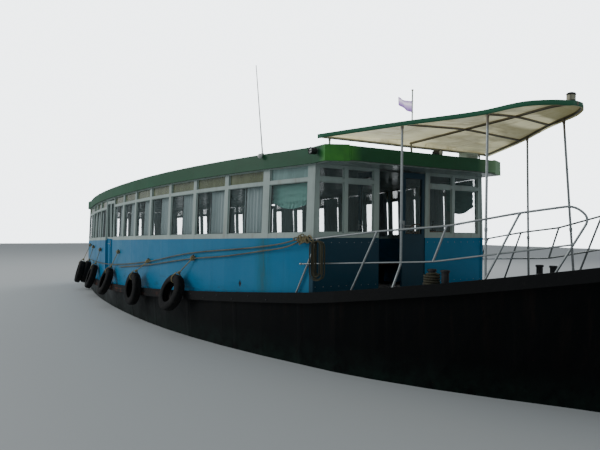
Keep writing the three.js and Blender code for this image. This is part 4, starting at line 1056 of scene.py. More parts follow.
UPPER_RAIL = [
    (-0.260, 1.985, 1.862), (0.060, 1.875, 1.875), (1.050, 1.530, 2.000), (1.970, 1.170, 2.080),
    (2.810, 0.850, 2.240), (3.350, 0.620, 2.320), (3.500, 0.560, 2.180), (3.110, 0.670, 1.480),
]
LOWER_RAIL = [(-0.190, 1.962, 1.500), (1.780, 1.215, 1.620), (3.330, 0.616, 1.880)]
STANCHIONS = [
    {"foot": (-0.300, 1.962), "top": (0.115, 1.856, 1.882)},
    {"foot": (0.620, 1.640), "top": (1.050, 1.530, 2.000)},
    {"foot": (2.400, 0.975), "top": (2.810, 0.850, 2.240)},
]
HALF_STANCHION = {"foot": (1.780, 1.215, 1.620), "top": (1.970, 1.170, 2.080)}


def bent_line(points, bend=0.06):
    """Rounds each corner of a line with a short curve."""
    points = [Vector(p) for p in points]
    line = [points[0]]
    for before, corner, after in zip(points, points[1:], points[2:]):
        reach = min(bend, (corner - before).length / 2.2, (after - corner).length / 2.2)
        start = corner + (before - corner).normalized() * reach
        end = corner + (after - corner).normalized() * reach
        for k in range(6):
            t = k / 5
            line.append(start.lerp(corner, t).lerp(corner.lerp(end, t), t))
    line.append(points[-1])
    return line


def collar(surface, place, way, radius, length=0.05):
    """A clamp or weld bead round a tube."""
    half = length / 2
    profile = [(0.5 * radius, -half), (radius * 1.18, -half), (radius * 1.3, -half * 0.6),
               (radius * 1.3, half * 0.6), (radius * 1.18, half), (0.5 * radius, half)]
    surface.lathe(profile, place, way, 14, closed=True)


def flange(surface, place, radius):
    """A round foot plate with four bolts under a post."""
    profile = [(0.0, 0.0), (radius * 2.4, 0.0), (radius * 2.4, 0.007), (radius * 2.2, 0.010),
               (radius * 1.3, 0.012), (radius * 1.15, 0.022), (0.0, 0.022)]
    surface.lathe(profile, place, UP, 20)
    bolt = [(0.0, 0.0), (0.007, 0.0), (0.007, 0.016), (0.0, 0.017)]
    for way in round_ways(4, ALONG, ACROSS, math.pi / 4):
        surface.lathe(bolt, place + way * radius * 1.8, UP, 6)


def canopy_row(ahead):
    """The canopy's edge on a smooth curve through its rows, and how slack the cloth is there."""
    rows = CANOPY_EDGE
    last = len(rows) - 1
    index = next((i for i in range(1, last) if rows[i]["ahead"] >= ahead - 1e-9), last)
    a, b = rows[index - 1], rows[index]
    span = b["ahead"] - a["ahead"]
    t = (ahead - a["ahead"]) / span

    def slope(i, key):
        before, after = rows[max(0, i - 1)], rows[min(last, i + 1)]
        return (after[key] - before[key]) / (after["ahead"] - before["ahead"])

    row = {"ahead": ahead}
    for key in ("half", "height", "crown"):
        row[key] = ((1 + 2 * t) * (1 - t) ** 2 * a[key] + t * (1 - t) ** 2 * span * slope(index - 1, key)
                    + t * t * (3 - 2 * t) * b[key] + t * t * (t - 1) * span * slope(index, key))
    return row, math.sin(math.pi * min(1, max(0, t))) if index < last else 0.0


def canopy_places(per_span):
    places = []
    for a, b in zip(CANOPY_EDGE, CANOPY_EDGE[1:]):
        count = max(2, round((b["ahead"] - a["ahead"]) * per_span))
        places += [a["ahead"] + (b["ahead"] - a["ahead"]) * k / count for k in range(count)]
    return [*places, CANOPY_EDGE[-1]["ahead"]]


def canopy_edge(side, row):
    return Vector((CABIN_FRONT + row["ahead"], side * (row["half"] - TUBE_INSET), row["height"] - TUBE_DROP))


def canopy_crown(row):
    rise = row["crown"] - TUBE_DROP - 0.002
    return Vector((CABIN_FRONT + row["ahead"], 0, row["height"] + rise))


def post_foot(side, ahead, half):
    x = CABIN_FRONT + ahead
    return Vector((x, side * half, sheer_height(-ahead)))


def make_canopy_frame():
    surface = Surface()
    rows = CANOPY_EDGE
    first = {**rows[0], "ahead": rows[0]["ahead"] - TUBE_OVERRUN}
    last = {**rows[-1], "ahead": rows[-1]["ahead"] + TUBE_OVERRUN}
    stops = [canopy_row(ahead)[0] for ahead in canopy_places(6)]
    outer = [first, *stops[1:]]
    ring = [canopy_edge(-1, r) for r in outer] + [canopy_edge(1, r) for r in reversed(outer)]
    surface.tube(bent_line(ring, 0.05), TUBE_RADIUS)
    surface.tube([canopy_edge(-1, rows[0]), canopy_edge(1, rows[0])], TUBE_RADIUS)
    surface.tube(bent_line([canopy_crown(r) for r in (first, *stops[1:-1], last)]), TUBE_RADIUS - 0.001)
    for row in (rows[0], rows[-1]):
        crown = canopy_crown(row)
        surface.tube([crown, crown - upward(row["crown"])], STUB_RADIUS)
    for row in (rows[1], rows[2]):
        middle = canopy_crown({**row, "ahead": row["ahead"] + 0.003})
        bow = [canopy_edge(-1, row), middle, canopy_edge(1, row)]
        surface.tube(bent_line(bow, 0.25), POST_RADIUS)
    for post in POSTS:
        side = post["side"]
        foot = post_foot(side, *post["foot"])
        knee = [Vector((CABIN_FRONT + ahead, side * half, height)) for ahead, half, height in post["knee"]]
        top = canopy_edge(side, canopy_row(post["top"])[0]) - upward(0.004)
        surface.tube(bent_line([foot, *knee, top], 0.03), POST_RADIUS, 16)
        flange(surface, foot, POST_RADIUS)
        low = [foot, *knee][-1]
        collar(surface, top - (top - low).normalized() * 0.03, top - low, POST_RADIUS, 0.06)
        collar(surface, low.lerp(top, 0.30), top - low, POST_RADIUS)
    for y in CANOPY_STUBS:
        x = CABIN_FRONT + rows[0]["ahead"] + 0.002
        surface.tube([(x, y, STUB_FOOT), (x, y, rows[0]["height"] - TUBE_DROP)], STUB_RADIUS)
        collar(surface, (x, y, rows[0]["height"] - 0.05), UP, STUB_RADIUS, 0.04)
    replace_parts(piece("canopy_tubes", surface, "steel"), "canopy_frame")


def make_rail(side, name):
    surface = Surface()

    def at(ahead, half, height):
        return Vector((CABIN_FRONT + ahead, side * half, height))

    upper = [at(*row) for row in UPPER_RAIL]
    lower = [at(*row) for row in LOWER_RAIL]
    surface.tube(bent_line(upper, 0.10), RAIL_RADIUS, 14)
    surface.tube(bent_line(lower, 0.15), LOWER_RAIL_RADIUS)
    for post in STANCHIONS:
        foot = post_foot(side, *post["foot"])
        top = at(*post["top"])
        surface.tube([foot, top], RAIL_RADIUS)
        flange(surface, foot, RAIL_RADIUS * 0.8)
        collar(surface, foot.lerp(top, 0.985), top - foot, RAIL_RADIUS, 0.03)
    surface.tube([at(*HALF_STANCHION["foot"]), at(*HALF_STANCHION["top"])], RAIL_RADIUS)
    for start, end in (lower[:2], upper[:2]):
        way = end - start
        collar(surface, start + way.normalized() * 0.015, way, RAIL_RADIUS, 0.03)
    made = piece(f"foredeck_rail_{name}", surface, "steel")
    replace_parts(made, f"rail_{name}")


# Canopy cloth and its green edge

CANOPY_COLUMNS = 32
CLOTH_THICK = 0.003
HEM_STEPS = 48
EDGE_FALL = 0.062
EDGE_TOP = 0.06


def make_canopy(sizes):
    surface = Surface()
    rand = random.Random(SEED)
    phase = rand.uniform(0, 6.28)
    shares = [-1 + 2 * k / CANOPY_COLUMNS for k in range(CANOPY_COLUMNS + 1)]
    places = canopy_places(14)
    rings = []
    for ahead in places:
        row, span = canopy_row(ahead)
        ring = []
        for share in shares:
            pocket = span * math.sin(math.pi * abs(share)) ** 0.8 if abs(share) < 1 else 0.0
            pull = 0.004 * math.sin(26 * ahead + phase) * (1 - abs(share)) * abs(share) * 4
            height = row["height"] + row["crown"] * (1 - share ** 2) + 0.002
            ring.append((CABIN_FRONT + ahead, share * row["half"], height - sizes.canopy_sag * pocket + pull))
        rings.append(ring)
    surface.rings(rings, closed_ring=False, lengths=places)
    cloth = piece("canopy_cloth", surface, "canvas")
    area = thickened(cloth, CLOTH_THICK)
    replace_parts(cloth, "canopy_sheet")
    make_canopy_hem()
    make_canopy_edge()


def make_canopy_hem():
    """The canopy's aft end, folded down behind the cross tube."""
    surface = Surface()
    row = CANOPY_EDGE[0]
    x = CABIN_FRONT + row["ahead"]
    low = row["height"] - TUBE_DROP - 0.012
    rings = []
    for k in range(HEM_STEPS + 1):
        share = -0.985 + 1.97 * k / HEM_STEPS
        y = share * row["half"]
        top = row["height"] + row["crown"] * (1 - share ** 2) + 0.004
        flutter = 0.003 * math.sin(k * 1.9)
        rings.append([(x + 0.006, y, top), (x - 0.016, y, top - 0.001), (x - 0.024, y, top - 0.010),
                      (x - 0.025 + flutter, y, low)])
    surface.rings(rings, closed_ring=False)
    hem = piece("canopy_aft_hem", surface, "canvas")
    area = thickened(hem, CLOTH_THICK)


def make_canopy_edge():
    """A green strip folded over the sides and the nose of the canopy."""
    rows = [canopy_row(ahead)[0] for ahead in canopy_places(10)]
    tip = {**CANOPY_EDGE[-1], "ahead": CANOPY_EDGE[-1]["ahead"] + 0.012}
    route = [(row, -1) for row in rows]
    route += [(tip, share) for share in (-0.9, -0.45, 0, 0.45, 0.9)]
    route += [(row, 1) for row in reversed(rows)]
    strip, lining = Surface(), Surface()
    strip_rings = []
    lining_rings = []
    for i, (row, share) in enumerate(route):
        on_nose = abs(share) < 1
        half, edge = row["half"], share * row["half"]
        top = row["height"] + row["crown"] * (1 - share ** 2) + 0.006
        x = CABIN_FRONT + row["ahead"]
        out = ALONG if on_nose else Vector((0.25, share, 0)).normalized()
        inner_half = edge if on_nose else share * max(0, half - EDGE_TOP)
        inner_rise = row["crown"] * (1 - (share if on_nose else inner_half / half) ** 2)
        inner = Vector((x - (EDGE_TOP if on_nose else 0), inner_half, row["height"] + inner_rise + 0.008))
        rim = Vector((x, edge, top)) + out * 0.006
        low = Vector((x, edge, top - EDGE_FALL)) + out * (0.008 + 0.0015 * math.sin(i * 1.7))
        strip_rings.append([inner, rim.lerp(inner, 0.3) + upward(0.002), rim,
                            rim.lerp(low, 0.15) + out * 0.003, rim.lerp(low, 0.6) + out * 0.002, low])
        lining_rings.append([rim - out * 0.014 - upward(0.012), rim.lerp(low, 0.6) - out * 0.008,
                             low - out * 0.007])
    lengths = [i * 0.1 for i in range(len(route))]
    strip.rings(strip_rings, closed_ring=False, lengths=lengths)
    lining.rings(lining_rings, closed_ring=False, lengths=lengths)
    hem = piece("canopy_edge_lining", lining, "canvas")
    hem_area = thickened(hem, 0.002)
    made = piece("canopy_edge_strip", strip, "canvas edge")
    area = thickened(made, CLOTH_THICK, 1.0)


# Tyres hung as fenders, and their lanyards

TYRE_OUTER = 0.350
TYRE_INNER = 0.195
TYRE_HALF = 0.088
RAIL_FACE = HULL_EDGE + 0.065 + 0.012
RAIL_RISE = 0.025
TYRE_GAP = 0.004
TYRE_COLUMNS = ("name", "side", "aft", "height", "lean", "layer", "hook")
TYRES = [dict(zip(TYRE_COLUMNS, row)) for row in (
    ("tyre_starboard_1", -1, 3.45, 0.80, 20, 0, (3.02, 1.46)),
    ("tyre_starboard_2", -1, 5.50, 0.69, 7, 0, (5.08, 1.30)),
    ("tyre_starboard_3", -1, 8.05, 0.64, 20, 0, (7.45, 1.40)),
    ("tyre_starboard_4", -1, 10.5, 0.57, 18, 0, (9.95, 1.36)),
    ("tyre_starboard_5", -1, 12.5, 0.56, 15, 0, (11.7, 1.38)),
    ("tyre_starboard_6", -1, 12.5, 0.52, 15, 1, (12.8, 1.40)),
    ("tyre_port_1", 1, 3.45, 0.80, 12, 0, (3.02, 1.46)),
    ("tyre_port_2", 1, 5.50, 0.69, 7, 0, (5.08, 1.30)),
)]
# Radius and depth of the tyre's section from the middle of its tread round to the middle of its inside
TYRE_HALF_SECTION = [
    (0.350, 0.008), (0.339, 0.010), (0.339, 0.016), (0.350, 0.018), (0.350, 0.036), (0.338, 0.038),
    (0.338, 0.044), (0.348, 0.046), (0.345, 0.058), (0.336, 0.068), (0.322, 0.076), (0.304, 0.083),
    (0.284, 0.087), (0.262, 0.088), (0.240, 0.088), (0.222, 0.086), (0.206, 0.080), (0.199, 0.070),
    (0.203, 0.062), (0.226, 0.070), (0.262, 0.072), (0.300, 0.066), (0.320, 0.050), (0.326, 0.0),
]
TYRE_SECTION = TYRE_HALF_SECTION + [(radius, -depth) for radius, depth in TYRE_HALF_SECTION[-2::-1]]
TYRE_SEGMENTS = 60


def tyre_place(row):
    """A tyre's centre, its axis and its way up: it rests on the rub rail with its top leant in."""
    stop = stop_at(row["aft"])
    angle = math.radians(row["lean"])
    rail_top = sheer_height(row["aft"]) + RAIL_RISE
    out = RAIL_FACE + TYRE_HALF / math.cos(angle) + (rail_top - row["height"]) * math.tan(angle)
    level = Vector((stop["out_x"], -row["side"] * stop["out_y"], 0))
    way = level * math.cos(angle) + upward(math.sin(angle))
    wall = Vector((stop["x"], -row["side"] * stop["y"], row["height"]))
    centre = wall + level * out + way * row["layer"] * (2 * TYRE_HALF + TYRE_GAP)
    rise = upward(math.cos(angle)) - level * math.sin(angle)
    return centre, way, rise


def make_tyre(row):
    centre, way, side = tyre_place(row)
    rings = []
    for k, out in enumerate(round_ways(TYRE_SEGMENTS, side, way.cross(side))):
        ring = []
        for radius, depth in TYRE_SECTION:
            shoulder = 0.040 < abs(depth) < 0.075 and radius > 0.33
            cut = 0.006 if shoulder and k % 3 == 0 else 0.0
            ring.append(centre + out * (radius - cut) + way * depth)
        rings.append(ring)
    surface = Surface()
    surface.rings(rings, loop=True)
    made = piece(f"fender_{row['name']}", surface, "rubber")
    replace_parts(made, row["name"])


def hook_point(row):
    along, height = row["hook"]
    point = wall_point(along, 0.02, height)
    return Vector((point.x, -row["side"] * point.y, height))


LANYARD_RADIUS = 0.008
KNOT_STEPS = 48
KNOT_TURNS = 3.5


def make_lanyards():
    """Each fender's lanyard: a loop round the tyre, two falls and a lashing on its hook."""
    rope, hooks = Surface(), Surface()
    half = TYRE_HALF + LANYARD_RADIUS
    high = TYRE_OUTER + LANYARD_RADIUS
    low = TYRE_INNER - LANYARD_RADIUS
    front = [(half * 0.45, high + 0.02), (half, high - 0.07), (half * 1.02, low + 0.06), (half * 0.7, low)]
    corners = front + [(-depth, radius) for depth, radius in reversed(front)]
    for row in TYRES:
        centre, way, rise = tyre_place(row)
        top = centre + rise * TYRE_OUTER
        hook = hook_point(row)
        lean = (hook - top).normalized()
        across = way.cross(upward(1)).normalized()
        loop = [centre + way * depth + rise * radius for depth, radius in corners]
        for shift in (-0.012, 0.012):
            line = [p + across * shift for p in loop]
            rope.tube(bent_line([*line, line[0] + upward(0.001)], 0.03), LANYARD_RADIUS, 7)
        knot = top + lean * 0.05 + upward(0.01)
        knot_lump(rope, knot, lean, 0.026)
        out = Vector((way.x, way.y, 0)) * 0.022
        for shift in (-0.006, 0.006):
            rope.tube([knot + across * shift, hook + out + across * shift], LANYARD_RADIUS, 7)
        knot_lump(rope, hook + out, lean, 0.044)
        bend = hook + out * 1.6
        hooks.tube(bent_line([hook - out, bend, bend + upward(0.05), hook + upward(0.055)], 0.02), 0.007, 8)
    piece("fender_lanyards", rope, "lanyard")
    piece("fender_hooks", hooks, "dark metal")


def knot_lump(surface, place, way, size):
    """A few tight turns of rope in a lump."""
    side = way.orthogonal().normalized()
    lift = way.cross(side)
    line = []
    for k in range(KNOT_STEPS + 1):
        t = k / KNOT_STEPS
        angle = 2 * math.pi * KNOT_TURNS * t
        swell = size * (0.55 + 0.35 * math.sin(math.pi * t))
        out = (side * math.cos(angle) + lift * math.sin(angle)) * swell
        line.append(place + out + way * (t - 0.5) * size * 2.0)
    surface.tube(line, LANYARD_RADIUS, 7)
    ring = [place + out for out in round_ways(20, side * size * 0.6, way * size * 0.9)]
    surface.tube(ring, LANYARD_RADIUS, 7, loop=True)


# Windows: sashes, panes and curtains

RUNS = {
    "starboard": (0, DOOR_START),
    "aft": (DOOR_END, OUTLINE_END - DOOR_END),
    "port": (OUTLINE_END - DOOR_START, OUTLINE_END),
}
PANE_OUT = -0.034
SASH_WIDTH = 0.022
SASH_LEVEL = 0.011
PANE_THICK = 0.005


def pillar_reach(along):
    """How far a pillar reaches into the bay beside it."""
    from_front = min(along, OUTLINE_END - along)
    if from_front < 0.01:
        return CORNER_POST
    return (HELM_POST if abs(from_front - FIRST_BAY) < 0.01 else SIDE_POST) / 2


def bays(run):
    """Openings between pillars: where each starts and ends along the outline, and if it is by the helm."""
    start, end = RUNS[run]
    stops = [start] + [s["along"] for s in OUTLINE if start + 1e-6 < s["along"] < end - 1e-6] + [end]
    by_helm = {"starboard": 0, "port": len(stops) - 2}.get(run)
    return [(a + pillar_reach(a), b - pillar_reach(b), i == by_helm)
            for i, (a, b) in enumerate(zip(stops, stops[1:]))]


def wall_slab(surface, along, rise, out):
    """A flat slab in the wall's plane: a range along it, a range above the sill and a range outward."""
    surface.slab([wall_point(a, o, above_sill(a, r)) for a in along for o in out for r in rise])


def ends_of(span, width):
    """The two ends of a range, as ranges of the given width."""
    return (span[0], span[0] + width), (span[1] - width, span[1])


def bordered(slab, across, rise, width, level=None):
    """Four strips round an opening; slab lays one strip over two ranges."""
    for end in ends_of(across, width):
        slab(end, rise)
    for end in ends_of(rise, level or width):
        slab((across[0] + width, across[1] - width), end)


def sash(surface, along, rise, out, width=SASH_WIDTH, level=SASH_LEVEL, inset=(0.0, 0.0)):
    """A thin frame round a pane, with uprights of one width and level strips of another."""
    across = (along[0] + inset[0], along[1] - inset[0])
    up = (rise[0] + inset[1], rise[1] - inset[1])
    bordered(lambda a, r: wall_slab(surface, a, r, out), across, up, width, level)


def make_side_windows(run):
    """Sliding panes under a fanlight in each bay, and one fixed pane under a teal one by the helm."""
    panes, sashes, seals = Surface(), Surface(), Surface()
    fans = {"teal": Surface(), "olive": Surface()}
    tall = (SILL_BAND, TRANSOM_LOW)
    fan = (TRANSOM_HIGH, SIDE_HEAD_LOW)
    thick = (PANE_OUT - PANE_THICK, PANE_OUT)
    for low, high, by_helm in bays(run):
        middle = (low + high) / 2
        if by_helm:
            wall_slab(panes, (low, high), tall, thick)
        else:
            wall_slab(panes, (low, middle + 0.012), tall, thick)
            wall_slab(panes, (middle - 0.012, high), tall, (PANE_OUT - 0.012, PANE_OUT - 0.007))
            wall_slab(seals, (middle - 0.006, middle + 0.006), tall, (PANE_OUT - 0.008, PANE_OUT + 0.003))
        sash(sashes, (low, high), tall, (PANE_OUT - 0.014, PANE_OUT + 0.012))
        rim = (PANE_OUT - 0.002, PANE_OUT + 0.006)
        sash(seals, (low, high), tall, rim, 0.008, 0.005, (SASH_WIDTH, SASH_LEVEL))
        wall_slab(fans["teal" if by_helm else "olive"], (low, high), fan, thick)
        sash(sashes, (low, high), fan, (PANE_OUT - 0.004, PANE_OUT + 0.008), 0.014, 0.006)
    glass = piece(f"window_panes_{run}", panes, "glass", smooth=False)
    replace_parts(glass, f"glass_{run}")
    piece(f"window_sashes_{run}", sashes, "white", smooth=False)
    piece(f"window_seals_{run}", seals, "gasket", smooth=False)
    for kind, finish in (("teal", "teal pane"), ("olive", "fanlight")):
        if fans[kind].points:
            piece(f"{kind}_fanlights_{run}", fans[kind], finish, smooth=False)


CURTAIN_OUT = -0.105
CURTAIN_DEPTH = 0.018
CURTAIN_TOP = 1.05
CURTAIN_LOW = 0.045


def curtain_cloth(name, place, pleats, seed, body=BODY, rests="roof"):
    """A gathered cloth whose pleats open a little towards the hem; place turns shares into points."""
    rand = random.Random(seed)
    phase = rand.uniform(0, 6.28)
    drift = [rand.uniform(-0.5, 0.5) for _ in range(pleats + 2)]

    def folded(s, t):
        pleat = s * pleats % 1
        wobble = drift[int(s * pleats)] * pleat * (1 - pleat) * 2
        wave = math.sin(2 * math.pi * pleats * s + phase + wobble + 0.5 * t * drift[0])
        swell = CURTAIN_DEPTH * (0.55 + 0.45 * t) * (1 + 0.35 * math.sin(5 * s + phase))
        return place(s + 0.006 * math.sin(9 * s + 3 * t + phase), t, swell * wave)

    surface = Surface()
    rings = surface.cloth(12, pleats * 8, folded)
    made = piece(name, surface, "grey curtain", body)
    flat = max(line_lengths(ring)[-1] for ring in rings)


def make_curtains(sizes):
    length = CURTAIN_TOP - CURTAIN_LOW
    for run in RUNS:
        for index, (low, high, by_helm) in enumerate(bays(run)):
            if by_helm:
                make_swag(run, low, high)
                continue
            width = high - low
            span = width * sizes.curtain_share
            forward_is_low = (low + high) / 2 < OUTLINE_END / 2
            start, end = (low - 0.02, low + span) if forward_is_low else (high - span, high + 0.02)

            def place(share, fall, out, start=start, end=end):
                at = start + (end - start) * share
                return wall_point(at, CURTAIN_OUT + out, above_sill(at, CURTAIN_TOP - length * fall))

            pleats = max(3, round(sizes.pleats * width))
            curtain_cloth(f"curtain_{run}_{index + 1}", place, pleats, SEED + index)


def make_swag(run, low, high):
    """The teal cloth by the helm, drawn up into a swag with a gathered hem."""
    width = high - low + 0.04

    def place(s, t):
        scallop = 0.10 * math.sin(math.pi * s)
        fold = 0.016 * math.sin(2 * math.pi * (5.5 * t + 0.9 * math.sin(math.pi * s))) * (0.2 + 0.8 * t)
        hem = 0.012 * math.sin(2 * math.pi * 13 * s) * t ** 3
        at = low - 0.02 + width * s
        return wall_point(at, CURTAIN_OUT + fold + hem, above_sill(at, CURTAIN_TOP - t * (0.50 + scallop)))

    surface = Surface()
    surface.cloth(16, 36, place)
    made = piece(f"swag_{run}", surface, "teal curtain")


FRONT_PANELS = {
    "starboard": {"from": -1.85, "to": DOORWAY[0], "post": -1.24},
    "port": {"from": DOORWAY[1], "to": 1.85, "post": 1.11},
}
FRONT_EDGE = 0.11
BEAD = 0.018


def make_front_windows():
    sill = sill_height(0)
    x = FRONT_WALL[1] - 0.03
    for name, panel in FRONT_PANELS.items():
        panes, beads = Surface(), Surface()
        spans = ((panel["from"] + FRONT_EDGE, panel["post"] - FRONT_POST / 2),
                 (panel["post"] + FRONT_POST / 2, panel["to"] - FRONT_EDGE))
        for span in spans:
            for rise in ((SILL_BAND, TRANSOM_LOW), (TRANSOM_HIGH, HEAD_LOW)):
                z = (sill + rise[0], sill + rise[1])
                panes.box((x - PANE_THICK, span[0], z[0]), (x, span[1], z[1]))
                strips = [(end, z) for end in ends_of(span, BEAD)] + [(span, end) for end in ends_of(z, BEAD)]
                for across, up in strips:
                    beads.box((x - 0.002, across[0], up[0]), (x + 0.012, across[1], up[1]))
        glass = piece(f"front_panes_{name}", panes, "glass", smooth=False)
        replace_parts(glass, f"front_glass_{name}")
        piece(f"front_beads_{name}", beads, "white", smooth=False)


# Doors: their panes, gaskets, trim, curtains and furniture

LEAF_THICK = 0.04
LEAF_BORDER = 0.065
LEAF_INSET = 0.09
LEAF_TRIM = 0.018
BOARDING_GAP = 0.008
BOARDING_HIGH = sill_height(DOOR_END) + HEAD_LOW - 0.015
FRONT_LEAF = {"width": 0.496, "low": 1.092, "hole": (1.953, 2.875), "battens": (), "paint": "front door"}
BOARDING_LEAF = {
    "width": BAY / 2 - 1.5 * BOARDING_GAP, "low": sheer_height(DOOR_START) + 0.012, "paint": "boarding door",
    "hole": (sill_height(DOOR_START) + 0.06, BOARDING_HIGH - 0.08), "battens": (0.06, 0.40),
}


def door_leaves():
    """Each leaf's hinge, the way it runs from there and the way its thickness faces."""
    leaves = [
        {"name": "door_front_starboard", "body": "front_leaf_starboard", "hinge": Vector((5.36, -0.574, 0)),
         "run": -ALONG, "out": ACROSS, **FRONT_LEAF},
        {"name": "door_front_port", "body": "front_leaf_port", "hinge": Vector((5.36, 0.424, 0)),
         "run": -ACROSS, "out": ALONG, **FRONT_LEAF},
    ]
    jambs = [Vector((stop["x"], stop["y"], 0)) for stop in map(stop_at, (DOOR_START, DOOR_END))]
    way = (jambs[1] - jambs[0]).normalized()
    out = upward(1).cross(way)
    for side, label in ((-1, "starboard"), (1, "port")):
        flip = Vector((1, -side, 1))
        for end, place, jamb in ((1, "forward", jambs[0]), (-1, "aft", jambs[1])):
            hinge = jamb + way * end * BOARDING_GAP - out * LEAF_INSET
            leaves.append({
                "name": f"door_{label}_{place}", "body": f"leaf_{label}_{place}", "hinge": hinge * flip,
                "run": way * end * flip, "out": out * flip, **BOARDING_LEAF})
    return leaves


def leaf_point(leaf, reach, depth, height):
    return leaf["hinge"] + leaf["run"] * reach + leaf["out"] * depth + upward(height)


def make_leaf(leaf):
    """A leaf's pane with its gaskets, trim on both faces, lever handles, hinges and curtain."""
    parts = {kind: Surface() for kind in ("glass", "gasket", "paint", "steel")}
    hole = (LEAF_BORDER, leaf["width"] - LEAF_BORDER)
    low, high = leaf["hole"]

    def slab(kind, reach, depth, rise):
        parts[kind].slab([leaf_point(leaf, a, b, c) for a in reach for b in depth for c in rise])

    slab("glass", hole, (0.017, 0.022), (low, high))
    for depth in ((0.010, 0.016), (0.023, 0.029)):
        bordered(lambda reach, rise: slab("gasket", reach, depth, rise), hole, (low, high), 0.010)
    wide = (hole[0] - LEAF_TRIM, hole[1] + LEAF_TRIM)
    tall = (low - LEAF_TRIM, high + LEAF_TRIM)
    for depth in ((-0.006, 0.0), (LEAF_THICK, LEAF_THICK + 0.006)):
        bordered(lambda reach, rise: slab("paint", reach, depth, rise), wide, tall, 0.016)
        raised = (depth[0], depth[0] + 0.018)
        for reach in leaf["battens"]:
            slab("paint", (reach, reach + 0.045), raised, (leaf["low"] + 0.02, low - 0.05))
    edge = leaf["width"] - 0.032
    grip = leaf["low"] + 1.0
    for face, way in ((0.0, -1), (LEAF_THICK, 1)):
        plate = sorted((face, face + 0.004 * way))
        slab("steel", (edge - 0.018, edge + 0.018), plate, (grip - 0.08, grip + 0.08))
        clear = face + 0.045 * way
        lever = [leaf_point(leaf, reach, depth, grip)
                 for reach, depth in ((edge, face), (edge, clear), (edge - 0.11, clear))]
        parts["steel"].tube(bent_line(lever, 0.015), 0.008, 10)
    for height in (leaf["low"] + 0.2, (leaf["low"] + high) / 2, high - 0.1):
        pin(parts["steel"], leaf["hinge"] + upward(height), UP, 0.009, 0.045)
    for kind, surface in parts.items():
        finish = leaf["paint"] if kind == "paint" else kind
        piece(f"{leaf['name']}_{kind}", surface, finish, leaf["body"], smooth=kind == "steel")
    if leaf["battens"]:
        length = high - low + 0.06

        def place(share, fall, out):
            reach = 0.045 + (leaf["width"] - 0.09) * share
            return leaf_point(leaf, reach, -0.028 + out * 0.6, high + 0.03 - length * fall)

        curtain_cloth(f"{leaf['name']}_curtain", place, 5, SEED + 3, leaf["body"], leaf["name"])


# Mooring gear: turns of rope and rims on the bitts, and the lashing on the rail's end

BITT_POSTS = (7.115, 7.345)
BITT_SIDE = 1.13
BITT_RADIUS = 0.048
BITT_TOP = 1.520
BITT_LOW = 1.235
TURN_ROPE = 0.032
# Radius of each layer, its first and last height below the bitt's top, and its turns
BITT_LAYERS = (
    (BITT_RADIUS + TURN_ROPE * 0.55, -0.215, -0.055, 5),
    (BITT_RADIUS + TURN_ROPE * 1.45, -0.070, -0.200, 4),
)
TURN_STEPS = 28


def bitt_route():
    """Two layers of turns round the starboard bitt's aft post, the outer one laid back over the inner."""
    post = Vector((BITT_POSTS[0], -BITT_SIDE, BITT_TOP))
    route = []
    angle = 0.0
    for radius, start, end, turns in BITT_LAYERS:
        steps = TURN_STEPS * turns
        for k in range(steps + 1):
            reach = radius + 0.003 * math.sin(3 * angle + radius * 90)
            height = start + (end - start) * k / steps
            route.append(post + Vector((reach * math.cos(angle), reach * math.sin(angle), height)))
            angle += 2 * math.pi / TURN_STEPS
    return route


def make_mooring():
    route = spaced_line(bitt_route(), 0.012)
    # The bitt turns use the rope darkened with painted shade.
    turns = piece("bitt_rope_turns", laid_rope(route, TURN_ROPE / 2, 0.11), "rope darkened by painted shade")
    line_lengths(route)[-1]
    rims = Surface()
    cap = [(0.046, -0.034), (0.058, -0.030), (0.060, -0.016), (0.058, -0.003), (0.047, -0.001)]
    foot = [(0.046, 0.0), (0.066, 0.0), (0.052, 0.014), (0.046, 0.016)]
    for side in (-1, 1):
        for x in BITT_POSTS:
            for profile, height in ((cap, BITT_TOP), (foot, BITT_LOW)):
                rims.lathe(profile, (x, side * BITT_SIDE, height), UP, 28, closed=True)
    piece("bitt_rims", rims, "dark metal")


RAIL_END = (Vector((5.20, -1.983, 1.863)), Vector((5.50, -1.878, 1.876)))
LASHING_TURNS = 7
LASHING_STEPS = 22 * LASHING_TURNS
BIGHTS = 7
BIGHT_STEPS = 28


def make_lashing():
    """Bights and turns of the wall ropes thrown round the rail's end."""
    rope = Surface()
    rand = random.Random(SEED)
    start, end = RAIL_END
    way = (end - start).normalized()
    side = way.orthogonal().normalized()
    lift = way.cross(side)
    wrap = []
    for k in range(LASHING_STEPS + 1):
        share = k / LASHING_STEPS
        angle = 2 * math.pi * LASHING_TURNS * share
        reach = 0.026 + 0.010 * math.sin(9 * share) ** 2
        middle = start.lerp(end, 0.15 + 0.45 * share)
        wrap.append(middle + (side * math.cos(angle) + lift * math.sin(angle)) * reach)
    rope.tube(wrap, 0.010, 8)
    outboard = Vector((0.3, -1, 0))
    for i in range(BIGHTS):
        middle = start.lerp(end, rand.uniform(0.1, 0.85))
        long_way = (way * rand.uniform(-0.8, 1.0) + upward(rand.uniform(-0.5, 0.9))).normalized()
        out = long_way.cross(outboard).normalized()
        length, width = rand.uniform(0.055, 0.105), rand.uniform(0.024, 0.042)
        loop = []
        for k, bight in enumerate(round_ways(BIGHT_STEPS, long_way * length, out * width)):
            bow = 0.022 + 0.016 * math.sin(4 * math.pi * k / BIGHT_STEPS + i)
            loop.append(middle + bight + outboard.normalized() * bow)
        rope.tube(loop, 0.009, 8, loop=True)
    return piece("rail_end_lashing", rope, "lanyard")


# Planks, slats, seams and studs, laid by Geometry Nodes

CEILING_RISE = 1.0963
BOLT_STEP = 0.42
VISOR_END = 5.885
BENCH = {"from": 1.72, "to": 7.48, "out": (-0.525, -0.125), "seat": 0.43}


